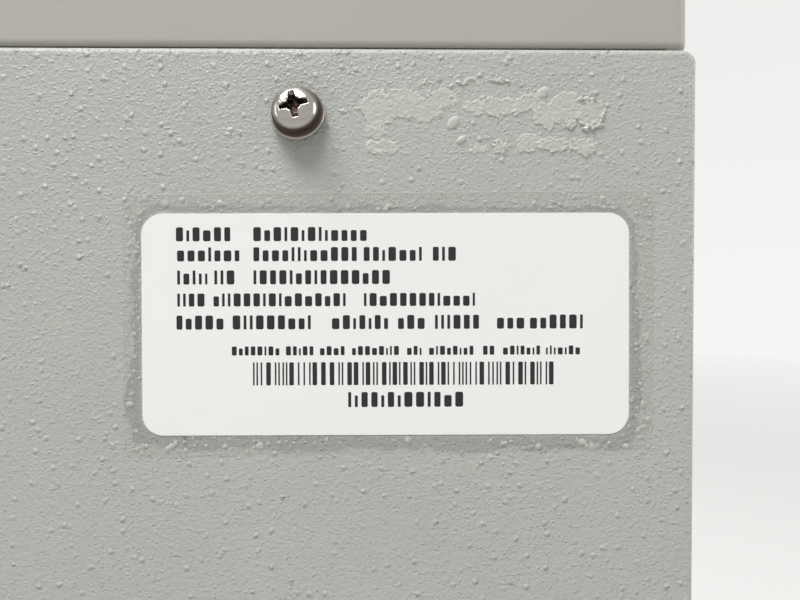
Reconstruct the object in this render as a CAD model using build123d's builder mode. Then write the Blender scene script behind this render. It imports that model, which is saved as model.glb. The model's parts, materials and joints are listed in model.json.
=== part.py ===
from build123d import *
import os
from math import atan2, degrees

os.makedirs("parts", exist_ok=True)

# Benchtop preparative liquid chromatography system, in millimetres.
# +X is to the right of someone facing the front, +Y is to the rear, +Z is up.
# The origin is on the bench, under the middle of the case.

# Case
quarter_turn = 90.0
width = 356.0
depth = 432.0
foot_height = 16.0
case_height = 584.0
tray_height = 63.0
sheet = 1.5
seam = 0.6
fit = 0.3
cover_lift = 2.0
cover_flange = 15.0
corner_radius = 2.0
bend_radius = 1.0
sheet_corner = 2.0
inner_corner = 0.5

left_side = -width / 2
front_face = -depth / 2
rear_face = depth / 2
case_top = foot_height + case_height
cover_bottom = foot_height + cover_lift
cover_back = rear_face - cover_flange - seam

# Front module on the left, with the fraction bay below and the display above
alcove_width = 94.0
module_width = width - alcove_width
moulding_depth = 66.0
moulding_wall = 3.0
moulding_edge = 4.0
slope_start = 350.0
slope_setback = 30.0
moulding_back = front_face + moulding_depth
module_right = left_side + module_width
module_centre = left_side + module_width / 2
alcove_centre = module_right + alcove_width / 2

# Alcove at the front right, which holds the column
alcove_depth = 95.0
alcove_back = front_face + alcove_depth
liner_return = 18.0

# Feet
foot_inset = 34.0
foot_radius = 17.0
foot_draft = 6.0
foot_edge = 2.0

# Base pan and decks
base_setback = 12.0
base_flange = 25.0
deck_flange = 20.0
middle_flange = 12.0
middle_height = 335.0
deck_bend = 1.8
pan_half = width / 2 - sheet - fit
pan_back = rear_face - sheet - fit
pan_front = front_face + base_setback
pan_floor = foot_height + sheet
deck_top = case_top - sheet
deck_front = alcove_back + liner_return + fit

# Rear posts
post_leg = 20.0
post_sheet = 2.0
post_half = pan_half - sheet - fit
post_back = pan_back - sheet - fit

# Case screws, number 8 with a flanged pan head
screw_inset = 61.7
screw_drop = 10.0
screw_rise = 13.0
side_screw_lead = 31.0
side_screw_rear = 30.4
side_screw_front = alcove_back + side_screw_lead
side_screw_back = cover_back - side_screw_rear
head_radius = 3.65
head_height = 3.1
head_shoulder = 0.9
head_turn = 2.6
head_fall = 0.55
flange_radius = 4.15
flange_height = 0.6
shank_radius = 2.0
shank_length = 4.2
recess_length = 4.4
recess_width = 1.0
recess_depth = 1.7
clearance_hole = 2.3
tapped_hole = 2.05

# Exhaust fan
fan_size = 120.0
fan_depth = 25.0
fan_corner = 5.0
fan_bore = 57.5
fan_inset = 118.0
fan_x = width / 2 - fan_inset
fan_z = 470.0
fan_hole_pitch = 105.0
fan_hole = 2.15
fan_strut = 6.0
fan_strut_depth = 3.0
fan_hub = 20.0
fan_hub_wall = 2.0
fan_blades = 7
fan_tip_gap = 1.5
fan_blade_thickness = 1.8
fan_chord = 20.0
fan_root_pitch = 50.0
fan_tip_pitch = 30.0
guard_sheet = 1.0
guard_ring = 2.0
guard_pitch = 11.0
guard_rings = 3
guard_centre = 13.0
guard_spoke = 4.0

# Mains inlet with its switch
inlet_inset = 48.0
inlet_x = width / 2 - inlet_inset
inlet_z = 74.0
inlet_width = 31.0
inlet_height = 62.0
inlet_flange = 2.2
inlet_lip = 2.2
inlet_depth = 30.0
inlet_corner = 3.0
socket_width = 24.2
socket_height = 16.4
socket_depth = 17.0
socket_bevel = 4.0
socket_drop = 14.0
pin_width = 4.0
pin_height = 2.0
pin_length = 14.0
pin_pitch = 7.0
pin_rise = 2.0
switch_width = 13.0
switch_height = 19.0
switch_depth = 10.0
switch_rise = 17.0
rocker_gap = 0.4
rocker_lift = 2.0
rocker_dip = 0.6
rocker_relief = 2.5
rocker_thickness = 7.0
pivot_radius = 1.5
pivot_length = 1.6
pivot_gap = 0.1

# Network port and control board
board_inset = 98.0
board_x = width / 2 - board_inset
board_z = 190.0
board_width = 130.0
board_height = 160.0
board_thickness = 1.6
standoff_length = 16.0
standoff_radius = 3.0
standoff_inset = 6.0
port_offset = 30.0
port_x = board_x - port_offset
port_z = 125.0
port_width = 16.0
port_height = 14.0
port_mouth_width = 11.8
port_mouth_height = 9.0
port_mouth_depth = 13.0
port_cut_gap = 0.3
chip_size = 22.0
chip_height = 3.0
chip_pitch = 42.0
chip_columns = 3

# Bulkhead fittings for solvent and waste
fitting_count = 4
fitting_pitch = 24.0
fitting_inset = 72.0
fitting_x = left_side + fitting_inset
fitting_z = 70.0
fitting_nut = 9.0
fitting_nut_height = 5.0
fitting_radius = 4.5
fitting_bore = 1.6
fitting_inside = 14.0
fitting_flange = 2.5

# Vents
vent_length = 46.0
vent_width = 3.5
vent_pitch = 9.0
vent_count = 9
vent_inset = 74.0
vent_x = left_side + vent_inset
vent_z = 180.0

# Top solvent tray
tray_inset = 0.9
tray_gap = 0.45
tray_wall = 4.0
tray_floor = 3.0
tray_under = 12.0
tray_corner = 2.2
tray_rim = 1.5
tray_foot_edge = 1.4
tray_boss = 7.0
tray_boss_inset = 60.0
tray_rib = 2.5
tray_rib_pitch = 106.0
tray_rib_count = 3
tray_foot = 3.5
tray_bottom = case_top + tray_gap
tray_top = case_top + tray_height
tray_floor_top = tray_bottom + tray_under + tray_floor

# Display
glass_margin = 28.0
glass_width = module_width - 2 * glass_margin
glass_height = 146.0
glass_thickness = 2.0
glass_corner = 5.0
glass_gap = 0.3
screen_ledge = 6.0
module_thickness = 14.0
module_gap = 1.0

# Bottle racks and drawer
pocket_count = 3
rack_count = 3
rack_wall = 2.4
rack_floor = 2.5
rack_height = 70.0
rack_gap = 0.4
rack_corner = 4.0
pocket_corner = 6.0
drawer_floor = 44.0
drawer_side = 26.0
drawer_front_thickness = 8.0
drawer_front_gap = 1.0
bay_margin = 10.0
bay_bottom = 22.0
bay_lintel = 3.0
bay_top = middle_height - bay_lintel
window_margin = 17.0
window_sill = 68.0
window_rebate = 6.0
window_thickness = 4.0
window_corner = 8.0
grip_width = 92.0
grip_height = 24.0
grip_depth = 6.0
grip_rise = 26.0
grip_draft = 5.0
drawer_clearance = 8.9
pan_size = module_width - 2 * (bay_margin + drawer_clearance)
rack_span = pan_size - 2 * sheet - rack_gap
bottle_pitch = rack_span / rack_count
pan_start = front_face + drawer_front_thickness
pan_end = pan_start + pan_size
rack_base = drawer_floor + sheet
pocket_size = bottle_pitch - rack_gap - 2 * rack_wall
rack_length = pocket_count * bottle_pitch - rack_gap
rack_middle_y = pan_start + sheet + rack_gap / 2 + rack_length / 2

# Drawer runners
runner_space = 12.9
runner_sheet = 1.2
runner_height = 30.0
runner_shortfall = 4.2
runner_length = pan_size - runner_shortfall
runner_lip = 10.4
runner_base = 42.0
runner_inner_sheet = 1.5
runner_inner_lip = drawer_clearance - fit

# Bay liner
liner_half = pan_size / 2 + runner_space
liner_front = pan_front + sheet + fit
liner_back = 95.0

# Fraction collector
rod_radius = 5.0
rod_y = 45.0
carriage_gap = 41.0
carriage_top = middle_height - carriage_gap
rod_drop = 12.0
rod_pitch = 50.0
rod_high = carriage_top - rod_drop
rod_low = rod_high - rod_pitch
screw_z = rod_high - rod_pitch / 2
long_screw_radius = 4.0
running = 0.05
motor_size = 35.0
motor_length = 34.0
motor_corner = 5.0
motor_pilot = 11.0
motor_bore_depth = 20.0
carriage_width = 50.0
carriage_depth = 28.0
carriage_bottom = rod_low - rod_drop
carriage_edge = 5.0
arm_half = 17.0
arm_sheet = 2.0
arm_height = 34.0
arm_drop = 16.0
arm_top = carriage_top - arm_drop
arm_bottom = arm_top - arm_height
arm_reach = 187.0
cross_drop = 10.0
cross_z = arm_top - cross_drop
cross_offset = 8.0
cross_rod_radius = 4.0
cross_screw_radius = 3.0
cross_motor_size = 28.0
cross_motor_length = 28.0
head_length = 24.0
head_gap = 1.2
head_step_gap = 4.0
drip_head_height = 28.0
head_step = arm_bottom - head_step_gap
head_low = head_step - drip_head_height
nozzle_radius = 1.6
nozzle_length = 8.0
nozzle_tip = head_low - nozzle_length
arm_x = module_centre - bottle_pitch
head_y = rack_middle_y + bottle_pitch
carriage_front = rod_y - carriage_depth / 2
carriage_back = rod_y + carriage_depth / 2
arm_front = -arm_reach

# Pumps
pump_inset = 46.0
pump_pitch = 76.0
pump_x = (left_side + pump_inset, left_side + pump_inset + pump_pitch)
pump_front = 0.0
pump_width = 64.0
pump_height = 84.0
pump_length = 70.0
pump_corner = 6.0
pump_motor_radius = 28.0
pump_motor_length = 58.0
pump_head_size = 44.0
pump_head_depth = 26.0
check_valve_radius = 7.0
check_valve_height = 12.0
cap_screw_radius = 3.0
cap_screw_height = 3.0
cap_screw_pitch = 32.0

# Mixer
mixer_lead = 70.0
mixer_x = pump_x[0] + pump_pitch / 2
mixer_y = moulding_back + mixer_lead
mixer_radius = 14.0
mixer_height = 90.0
mixer_cap_radius = 18.0
mixer_cap_height = 14.0

# Detector
detector_inset = 25.0
detector_gap = 47.0
detector_lead = 56.0
detector_right = width / 2 - detector_inset
detector_left = pump_x[1] + pump_width / 2 + detector_gap
detector_width = detector_right - detector_left
detector_x = (detector_left + detector_right) / 2
detector_length = 170.0
detector_y = alcove_back + detector_lead + detector_length / 2
detector_height = 96.0
detector_corner = 8.0
fin_count = 11
fin_pitch = 14.0
fin_gap = 10.0
fin_depth = 12.0
cell_size = 36.0
cell_depth = 20.0
cell_bore = 5.0

# Power supply
supply_inset = 108.0
supply_x = left_side + supply_inset
supply_width = 150.0
supply_gap = 9.0
supply_setback = 16.0
supply_back = rear_face - supply_setback
supply_length = supply_back - liner_back - supply_gap
supply_y = supply_back - supply_length / 2
supply_height = 62.0
supply_slots = 10
supply_pitch = 12.0
supply_slot = 4.0
supply_margin = 18.0
supply_slot_length = supply_length - 2 * supply_margin
supply_slot_depth = 2.0

# Injection valve
valve_x = alcove_centre
valve_z = 118.0
valve_flange = 25.0
valve_flange_height = 4.0
valve_body = 17.0
valve_body_length = 46.0
valve_stem = 5.0
valve_stem_length = 12.0
knob_radius = 19.0
knob_height = 16.0
knob_gap = 0.4
knob_flutes = 12
knob_flute_radius = 3.0
knob_pointer = 9.0
knob_draft = 4.0

# Column, its rail and clamps
column_gap = 47.0
column_y = alcove_back - column_gap
column_radius = 15.0
column_bottom = 192.0
column_length = 310.0
end_nut_radius = 19.0
end_nut_height = 34.0
end_nose_radius = 6.0
end_nose_height = 12.0
rail_width = 20.0
rail_depth = 8.0
rail_bottom = 160.0
rail_top = 560.0
rail_groove = 6.0
rail_groove_depth = 3.0
clamp_height = 14.0
clamp_wall = 6.0
clamp_width = 34.0
clamp_gap = 0.3
lower_plate = 8.0
seat_radius = 8.0
upper_clamp_z = 448.0
clamp_knob_radius = 9.0
clamp_knob_height = 12.0
clamp_stud_radius = 2.5
clamp_stud_gap = 0.05

# Drip tray in the alcove
drip_height = 30.0
drip_wall = 2.0
drip_corner = 6.0


# Feet: four turned rubber bumpers
with BuildPart() as feet:
    with BuildSketch():
        with GridLocations(width - 2 * foot_inset, depth - 2 * foot_inset, 2, 2):
            Circle(foot_radius)
    extrude(amount=foot_height, taper=foot_draft)
    fillet(feet.edges().group_by(Axis.Z)[0], foot_edge)
feet.part.label = "feet"
export_step(feet.part, "parts/feet.step")


# Base pan: folded sheet with an upturned flange all round
screw_columns = (-(width / 2 - screw_inset), 0.0, width / 2 - screw_inset)
side_screw_rows = (side_screw_front, side_screw_back)
low_screw_z = foot_height + screw_rise
high_screw_z = case_top - screw_drop
with BuildPart() as base_pan:
    with BuildSketch(Plane.XY.offset(foot_height)):
        with Locations((0, (pan_front + pan_back) / 2)):
            RectangleRounded(2 * pan_half, pan_back - pan_front, sheet_corner)
    extrude(amount=base_flange)
    with BuildSketch(Plane.XY.offset(pan_floor)):
        with Locations((0, (pan_front + pan_back) / 2)):
            RectangleRounded(2 * (pan_half - sheet), pan_back - pan_front - 2 * sheet, inner_corner)
    extrude(amount=base_flange, mode=Mode.SUBTRACT)
    with BuildSketch(Plane.XY.offset(foot_height)):
        with Locations((-pan_half, pan_front)):
            Rectangle(sheet, moulding_back + seam - pan_front, align=(Align.MIN, Align.MIN))
    extrude(amount=base_flange, mode=Mode.SUBTRACT)
    with BuildSketch(Plane.XY.offset(pan_floor)):
        with Locations((module_right - moulding_wall / 2, pan_front)):
            Rectangle(moulding_wall + 2 * fit, 2 * sheet)
    extrude(amount=base_flange, mode=Mode.SUBTRACT)
    with BuildSketch(Plane.XY.offset(foot_height)):
        with Locations((supply_x, supply_y)):
            with GridLocations(supply_pitch, 0, supply_slots, 1):
                SlotOverall(supply_slot_length, supply_slot, rotation=quarter_turn)
    extrude(amount=sheet, mode=Mode.SUBTRACT)
    with BuildSketch(Plane.XZ.offset(-pan_back)):
        with Locations(*[(x, low_screw_z) for x in screw_columns]):
            Circle(tapped_hole)
    extrude(amount=sheet, mode=Mode.SUBTRACT)
    with BuildSketch(Plane.YZ.offset(-pan_half)):
        with Locations(*[(y, low_screw_z) for y in side_screw_rows]):
            Circle(tapped_hole)
    extrude(amount=2 * pan_half, mode=Mode.SUBTRACT)
base_pan.part.label = "base_pan"
export_step(base_pan.part, "parts/base_pan.step")


# Rear panel: a folded pan, open at the bottom, with rounded upper corners
rear_plane = Plane.XZ.offset(-rear_face)
with BuildPart() as rear_panel:
    with BuildSketch(rear_plane) as outline:
        with Locations((0, (cover_bottom + case_top) / 2)):
            Rectangle(width, case_top - cover_bottom)
        fillet(outline.vertices().group_by(Axis.Y)[-1], corner_radius)
    extrude(amount=cover_flange)
    with BuildSketch(rear_plane.offset(sheet)) as hollow:
        with Locations((0, (cover_bottom + case_top) / 2 - sheet)):
            Rectangle(width - 2 * sheet, case_top - cover_bottom)
        fillet(hollow.vertices().group_by(Axis.Y)[-1], corner_radius - sheet)
    extrude(amount=cover_flange, mode=Mode.SUBTRACT)
    face_edges = rear_panel.faces().sort_by(Axis.Y)[-1].outer_wire().edges()
    fillet(face_edges.filter_by(lambda edge: edge.center().Z > cover_bottom + sheet), bend_radius)
    with BuildSketch(rear_plane):
        with Locations((fan_x, fan_z)):
            Circle(fan_bore)
        with Locations((inlet_x, inlet_z)):
            Rectangle(inlet_width - 2 * inlet_lip + fit, inlet_height - 2 * inlet_lip + fit)
        with Locations((port_x, port_z)):
            Rectangle(port_width + 2 * port_cut_gap, port_height + 2 * port_cut_gap)
        with Locations((vent_x, vent_z)):
            with GridLocations(0, vent_pitch, 1, vent_count):
                SlotOverall(vent_length, vent_width)
        with Locations((fitting_x, fitting_z)):
            with GridLocations(fitting_pitch, 0, fitting_count, 1):
                Circle(fitting_radius + running)
        with Locations(*[(x, z) for x in screw_columns for z in (low_screw_z, high_screw_z)]):
            Circle(clearance_hole)
    extrude(amount=sheet, mode=Mode.SUBTRACT)
rear_panel.part.label = "rear_panel"
export_step(rear_panel.part, "parts/rear_panel.step")


# Side covers: a wall with an inward flange along its top
def side_cover(side, front_end):
    """One side cover, from front_end back to the rear panel's flange; side is -1 or 1."""
    outer = side * width / 2
    inner = outer - side * sheet
    lip = outer - side * cover_flange
    with BuildPart() as cover:
        with BuildSketch(Plane.XZ.offset(-cover_back)) as section:
            with BuildLine():
                Polyline(
                    (outer, cover_bottom),
                    (outer, case_top),
                    (lip, case_top),
                    (lip, deck_top),
                    (inner, deck_top),
                    (inner, cover_bottom),
                    close=True,
                )
            make_face()
            fillet(section.vertices().sort_by_distance((outer, case_top))[0], bend_radius)
        extrude(amount=cover_back - front_end)
        with BuildSketch(Plane.YZ.offset(inner)):
            with Locations(*[(y, z) for y in side_screw_rows for z in (low_screw_z, high_screw_z)]):
                Circle(clearance_hole)
        extrude(amount=side * sheet, mode=Mode.SUBTRACT)
    return cover


left_cover = side_cover(-1, moulding_back + seam)
left_cover.part.label = "left_cover"
export_step(left_cover.part, "parts/left_cover.step")

right_cover = side_cover(1, alcove_back)
right_cover.part.label = "right_cover"
export_step(right_cover.part, "parts/right_cover.step")


# Rear posts: two folded angles between the base pan and the top deck
with BuildPart() as rear_posts:
    for side in (-1, 1):
        with BuildSketch(Plane.XY.offset(pan_floor)):
            with BuildLine():
                Polyline(
                    (side * post_half, post_back),
                    (side * post_half, post_back - post_leg),
                    (side * (post_half - post_sheet), post_back - post_leg),
                    (side * (post_half - post_sheet), post_back - post_sheet),
                    (side * (post_half - post_leg), post_back - post_sheet),
                    (side * (post_half - post_leg), post_back),
                    close=True,
                )
            make_face()
        extrude(amount=deck_top - sheet - pan_floor)
rear_posts.part.label = "rear_posts"
export_step(rear_posts.part, "parts/rear_posts.step")


# Top deck: an inverted pan under the tray
deck_middle = (deck_front + pan_back) / 2
with BuildPart() as top_deck:
    with BuildSketch(Plane.XY.offset(deck_top)):
        with Locations((0, deck_middle)):
            RectangleRounded(2 * pan_half, pan_back - deck_front, sheet_corner)
    extrude(amount=-deck_flange)
    fillet(top_deck.faces().sort_by(Axis.Z)[-1].outer_wire().edges(), deck_bend)
    with BuildSketch(Plane.XY.offset(deck_top - sheet)):
        with Locations((0, deck_middle)):
            RectangleRounded(2 * (pan_half - sheet), pan_back - deck_front - 2 * sheet, inner_corner)
    extrude(amount=-deck_flange, mode=Mode.SUBTRACT)
    with BuildSketch(Plane.XZ.offset(-pan_back)):
        with Locations(*[(x, high_screw_z) for x in screw_columns]):
            Circle(tapped_hole)
    extrude(amount=sheet, mode=Mode.SUBTRACT)
    with BuildSketch(Plane.YZ.offset(-pan_half)):
        with Locations(*[(y, high_screw_z) for y in side_screw_rows]):
            Circle(tapped_hole)
    extrude(amount=2 * pan_half, mode=Mode.SUBTRACT)
top_deck.part.label = "top_deck"
export_step(top_deck.part, "parts/top_deck.step")


# Middle deck: the shelf for the pumps and the detector, with an upturned flange
middle_front = moulding_back + seam + sheet
middle_step = alcove_back + sheet + fit
middle_back = post_back - post_leg - fit
middle_right = module_right - sheet - fit
with BuildPart() as middle_deck:
    with BuildSketch(Plane.XY.offset(middle_height)) as plan:
        with BuildLine():
            Polyline(
                (-post_half, middle_front),
                (middle_right, middle_front),
                (middle_right, middle_step),
                (post_half, middle_step),
                (post_half, middle_back),
                (-post_half, middle_back),
                close=True,
            )
        make_face()
    extrude(amount=middle_flange)
    with BuildSketch(Plane.XY.offset(middle_height + sheet)):
        add(plan.sketch_local)
        offset(amount=-sheet, kind=Kind.INTERSECTION, mode=Mode.REPLACE)
    extrude(amount=middle_flange, mode=Mode.SUBTRACT)
middle_deck.part.label = "middle_deck"
export_step(middle_deck.part, "parts/middle_deck.step")


# Alcove liner: one folded sheet, left wall, back wall and a return behind the right cover
with BuildPart() as alcove_liner:
    with BuildSketch(Plane.XY.offset(pan_floor)):
        with BuildLine():
            Polyline(
                (module_right - sheet, moulding_back + seam),
                (module_right, moulding_back + seam),
                (module_right, alcove_back),
                (pan_half, alcove_back),
                (pan_half, alcove_back + liner_return),
                (pan_half - sheet, alcove_back + liner_return),
                (pan_half - sheet, alcove_back + sheet),
                (module_right - sheet, alcove_back + sheet),
                close=True,
            )
        make_face()
    extrude(amount=deck_top - pan_floor)
    notch_top = foot_height + base_flange + seam
    with BuildSketch(Plane.XY.offset(pan_floor)):
        with Locations((post_half, alcove_back)):
            Rectangle(post_leg, liner_return, align=(Align.MIN, Align.MIN))
    extrude(amount=notch_top - pan_floor, mode=Mode.SUBTRACT)
    with BuildSketch(Plane.XZ.offset(-alcove_back)):
        with Locations((valve_x, valve_z)):
            Circle(valve_body + running)
    extrude(amount=-sheet, mode=Mode.SUBTRACT)
alcove_liner.part.label = "alcove_liner"
export_step(alcove_liner.part, "parts/alcove_liner.step")


# Front moulding: a deep plastic front with a sloped display face and the bay opening
slope_end = front_face + slope_setback
slope_angle = degrees(atan2(slope_setback, case_top - slope_start))
slope_middle = (
    module_centre,
    front_face + slope_setback / 2,
    (slope_start + case_top) / 2,
)
display_plane = Plane(origin=slope_middle, x_dir=(1, 0, 0), z_dir=(0, -1, 0)).rotated((-slope_angle, 0, 0))
with BuildPart() as front_moulding:
    with BuildSketch(Plane.YZ.offset(left_side)):
        with BuildLine():
            Polyline(
                (front_face, cover_bottom),
                (front_face, slope_start),
                (front_face + slope_setback, case_top),
                (moulding_back, case_top),
                (moulding_back, cover_bottom),
                close=True,
            )
        make_face()
    extrude(amount=module_width)
    front_edges = front_moulding.edges().filter_by(lambda edge: edge.center().Y < slope_end + moulding_wall)
    side_edges = front_edges.filter_by(lambda edge: abs(edge.center().X - module_centre) > moulding_edge)
    fillet(side_edges, moulding_edge)
    with BuildSketch(Plane.YZ.offset(left_side + moulding_wall)):
        with BuildLine():
            Polyline(
                (front_face, cover_bottom - 2 * moulding_wall),
                (front_face, slope_start),
                (front_face + slope_setback, case_top),
                (moulding_back + 2 * moulding_wall, case_top),
                (moulding_back + 2 * moulding_wall, cover_bottom - 2 * moulding_wall),
                close=True,
            )
        make_face()
        offset(amount=-moulding_wall, kind=Kind.INTERSECTION, mode=Mode.REPLACE)
    extrude(amount=module_width - 2 * moulding_wall, mode=Mode.SUBTRACT)
    with BuildSketch(Plane.XZ.offset(-front_face)):
        with Locations((module_centre, (bay_bottom + bay_top) / 2)):
            Rectangle(module_width - 2 * bay_margin, bay_top - bay_bottom)
    extrude(amount=-moulding_wall, mode=Mode.SUBTRACT)
    with BuildSketch(display_plane):
        RectangleRounded(glass_width + 2 * glass_gap, glass_height + 2 * glass_gap, glass_corner)
    extrude(amount=-glass_thickness, mode=Mode.SUBTRACT)
    with BuildSketch(display_plane):
        RectangleRounded(glass_width - 2 * screen_ledge, glass_height - 2 * screen_ledge, glass_corner)
    extrude(amount=-2 * moulding_wall, mode=Mode.SUBTRACT)
front_moulding.part.label = "front_moulding"
export_step(front_moulding.part, "parts/front_moulding.step")


# Display: cover glass in the moulding's rebate, with the panel behind it
with BuildPart() as touch_glass:
    with BuildSketch(display_plane):
        RectangleRounded(glass_width, glass_height, glass_corner)
    extrude(amount=-glass_thickness)
touch_glass.part.label = "touch_glass"
export_step(touch_glass.part, "parts/touch_glass.step")

with BuildPart() as display_module:
    with BuildSketch(display_plane.offset(-glass_thickness)):
        RectangleRounded(
            glass_width - 2 * (screen_ledge + module_gap),
            glass_height - 2 * (screen_ledge + module_gap),
            glass_corner - module_gap,
        )
    extrude(amount=-module_thickness)
display_module.part.label = "display_module"
export_step(display_module.part, "parts/display_module.step")


# Top tray: a moulded basin for solvent bottles, ribbed below, on bosses and corner feet
tray_width = width - 2 * tray_inset
tray_depth = depth - 2 * tray_inset
boss_pitch_x = width - 2 * tray_boss_inset
boss_pitch_y = pan_back - deck_front - 2 * tray_boss_inset
with BuildPart() as top_tray:
    with BuildSketch(Plane.XY.offset(case_top)):
        RectangleRounded(tray_width, tray_depth, tray_corner)
    extrude(amount=tray_top - case_top)
    fillet(top_tray.edges().group_by(Axis.Z)[-1], tray_rim)
    fillet(top_tray.edges().group_by(Axis.Z)[0], tray_foot_edge)
    with BuildSketch(Plane.XY.offset(tray_floor_top)):
        RectangleRounded(tray_width - 2 * tray_wall, tray_depth - 2 * tray_wall, tray_corner - tray_rim)
    extrude(amount=tray_height, mode=Mode.SUBTRACT)
    with BuildSketch(Plane.XY.offset(case_top)):
        RectangleRounded(tray_width - 2 * tray_wall, tray_depth - 2 * tray_wall, tray_corner - tray_rim)
    extrude(amount=tray_gap + tray_under, mode=Mode.SUBTRACT)
    with BuildSketch(Plane.XY.offset(case_top)):
        Rectangle(tray_width - 2 * tray_foot, tray_depth)
        Rectangle(tray_width, tray_depth - 2 * tray_foot)
        with Locations((tray_width / 2, -tray_depth / 2)):
            Rectangle(2 * tray_foot, 2 * tray_foot)
    extrude(amount=tray_gap, mode=Mode.SUBTRACT)
    with BuildSketch(Plane.XY.offset(tray_bottom + tray_under)):
        with GridLocations(tray_rib_pitch, 0, tray_rib_count, 1):
            Rectangle(tray_rib, tray_depth - tray_wall)
        with GridLocations(0, tray_rib_pitch, 1, tray_rib_count):
            Rectangle(tray_width - tray_wall, tray_rib)
    extrude(amount=-(tray_under - seam))
    with BuildSketch(Plane.XY.offset(tray_bottom + tray_under)):
        with Locations((0, deck_middle)):
            with GridLocations(boss_pitch_x, boss_pitch_y, 2, 2):
                Circle(tray_boss)
    extrude(amount=-(tray_bottom + tray_under - deck_top))
top_tray.part.label = "top_tray"
export_step(top_tray.part, "parts/top_tray.step")


# Case screws: a flanged pan head with a cross recess, one solid for each screw
with BuildPart() as screw:
    with BuildSketch(Plane.XZ):
        with BuildLine():
            Polyline(
                (0, -shank_length),
                (shank_radius, -shank_length),
                (shank_radius, 0),
                (flange_radius, 0),
                (flange_radius, flange_height),
                (head_radius, head_shoulder),
            )
            Spline(
                (head_radius, head_shoulder),
                (head_turn, head_height - head_fall),
                (0, head_height),
                tangents=((0, 1), (-1, 0)),
            )
            Line((0, head_height), (0, -shank_length))
        make_face()
    revolve(axis=Axis.Z)
    with BuildSketch(Plane.XY.offset(head_height)):
        Rectangle(recess_length, recess_width)
        Rectangle(recess_width, recess_length)
    extrude(amount=-recess_depth, mode=Mode.SUBTRACT)

screw_planes = [
    Plane(origin=(x, rear_face, z), x_dir=(1, 0, 0), z_dir=(0, 1, 0))
    for x in screw_columns
    for z in (low_screw_z, high_screw_z)
]
screw_planes += [
    Plane(origin=(side * width / 2, y, z), x_dir=(0, 1, 0), z_dir=(side, 0, 0))
    for side in (-1, 1)
    for y in side_screw_rows
    for z in (low_screw_z, high_screw_z)
]
with BuildPart() as case_screws:
    with Locations(*[Location(plane) for plane in screw_planes]):
        add(screw.part)
case_screws.part.label = "case_screws"
export_step(case_screws.part, "parts/case_screws.step")


# Exhaust fan: guard and frame on the rear panel, rotor on the frame's hub
fan_outer = rear_face - sheet
frame_outer = fan_outer - guard_sheet
with BuildPart() as fan_guard:
    with BuildSketch(Plane.XZ.offset(-fan_outer)):
        with Locations((fan_x, fan_z)):
            RectangleRounded(fan_size, fan_size, fan_corner)
            Circle(fan_bore - fit, mode=Mode.SUBTRACT)
            for ring in range(guard_rings, 0, -1):
                Circle(guard_centre + ring * guard_pitch)
                Circle(guard_centre + ring * guard_pitch - guard_ring, mode=Mode.SUBTRACT)
            Circle(guard_centre)
            Rectangle(2 * fan_bore, guard_spoke)
            Rectangle(guard_spoke, 2 * fan_bore)
            with GridLocations(fan_hole_pitch, fan_hole_pitch, 2, 2):
                Circle(fan_hole, mode=Mode.SUBTRACT)
    extrude(amount=guard_sheet)
fan_guard.part.label = "fan_guard"
export_step(fan_guard.part, "parts/fan_guard.step")

with BuildPart() as fan_frame:
    with BuildSketch(Plane.XZ.offset(-frame_outer)):
        with Locations((fan_x, fan_z)):
            RectangleRounded(fan_size, fan_size, fan_corner)
            Circle(fan_bore, mode=Mode.SUBTRACT)
            with GridLocations(fan_hole_pitch, fan_hole_pitch, 2, 2):
                Circle(fan_hole, mode=Mode.SUBTRACT)
    extrude(amount=fan_depth)
    with BuildSketch(Plane.XZ.offset(-(frame_outer - fan_depth + fan_strut_depth))):
        with Locations((fan_x, fan_z)):
            Circle(fan_hub)
            Rectangle(2 * fan_bore + fan_strut_depth, fan_strut)
            Rectangle(fan_strut, 2 * fan_bore + fan_strut_depth)
    extrude(amount=fan_strut_depth)
fan_frame.part.label = "fan_frame"
export_step(fan_frame.part, "parts/fan_frame.step")

rotor_back = frame_outer - fan_depth + fan_strut_depth + fit
rotor_front = frame_outer - fan_hub_wall
rotor_middle = (rotor_back + rotor_front) / 2
blade_tip = fan_bore - fan_tip_gap
with BuildPart() as fan_rotor:
    with BuildSketch(Plane.XZ.offset(-rotor_front)):
        with Locations((fan_x, fan_z)):
            Circle(fan_hub)
    extrude(amount=rotor_front - rotor_back)
    for blade in range(fan_blades):
        turn = 360 / fan_blades * blade
        blade_axis = Plane(origin=(fan_x, rotor_middle, fan_z), x_dir=(0, 1, 0), z_dir=(0, 0, 1))
        root_plane = blade_axis.rotated((0, turn, 0)).offset(fan_hub - fan_hub_wall)
        tip_plane = blade_axis.rotated((0, turn, 0)).offset(blade_tip)
        with BuildSketch(root_plane):
            Rectangle(fan_hub, fan_blade_thickness, rotation=fan_root_pitch)
        with BuildSketch(tip_plane):
            Rectangle(fan_chord, fan_blade_thickness, rotation=fan_tip_pitch)
        loft()
fan_rotor.part.label = "fan_rotor"
export_step(fan_rotor.part, "parts/fan_rotor.step")


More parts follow.
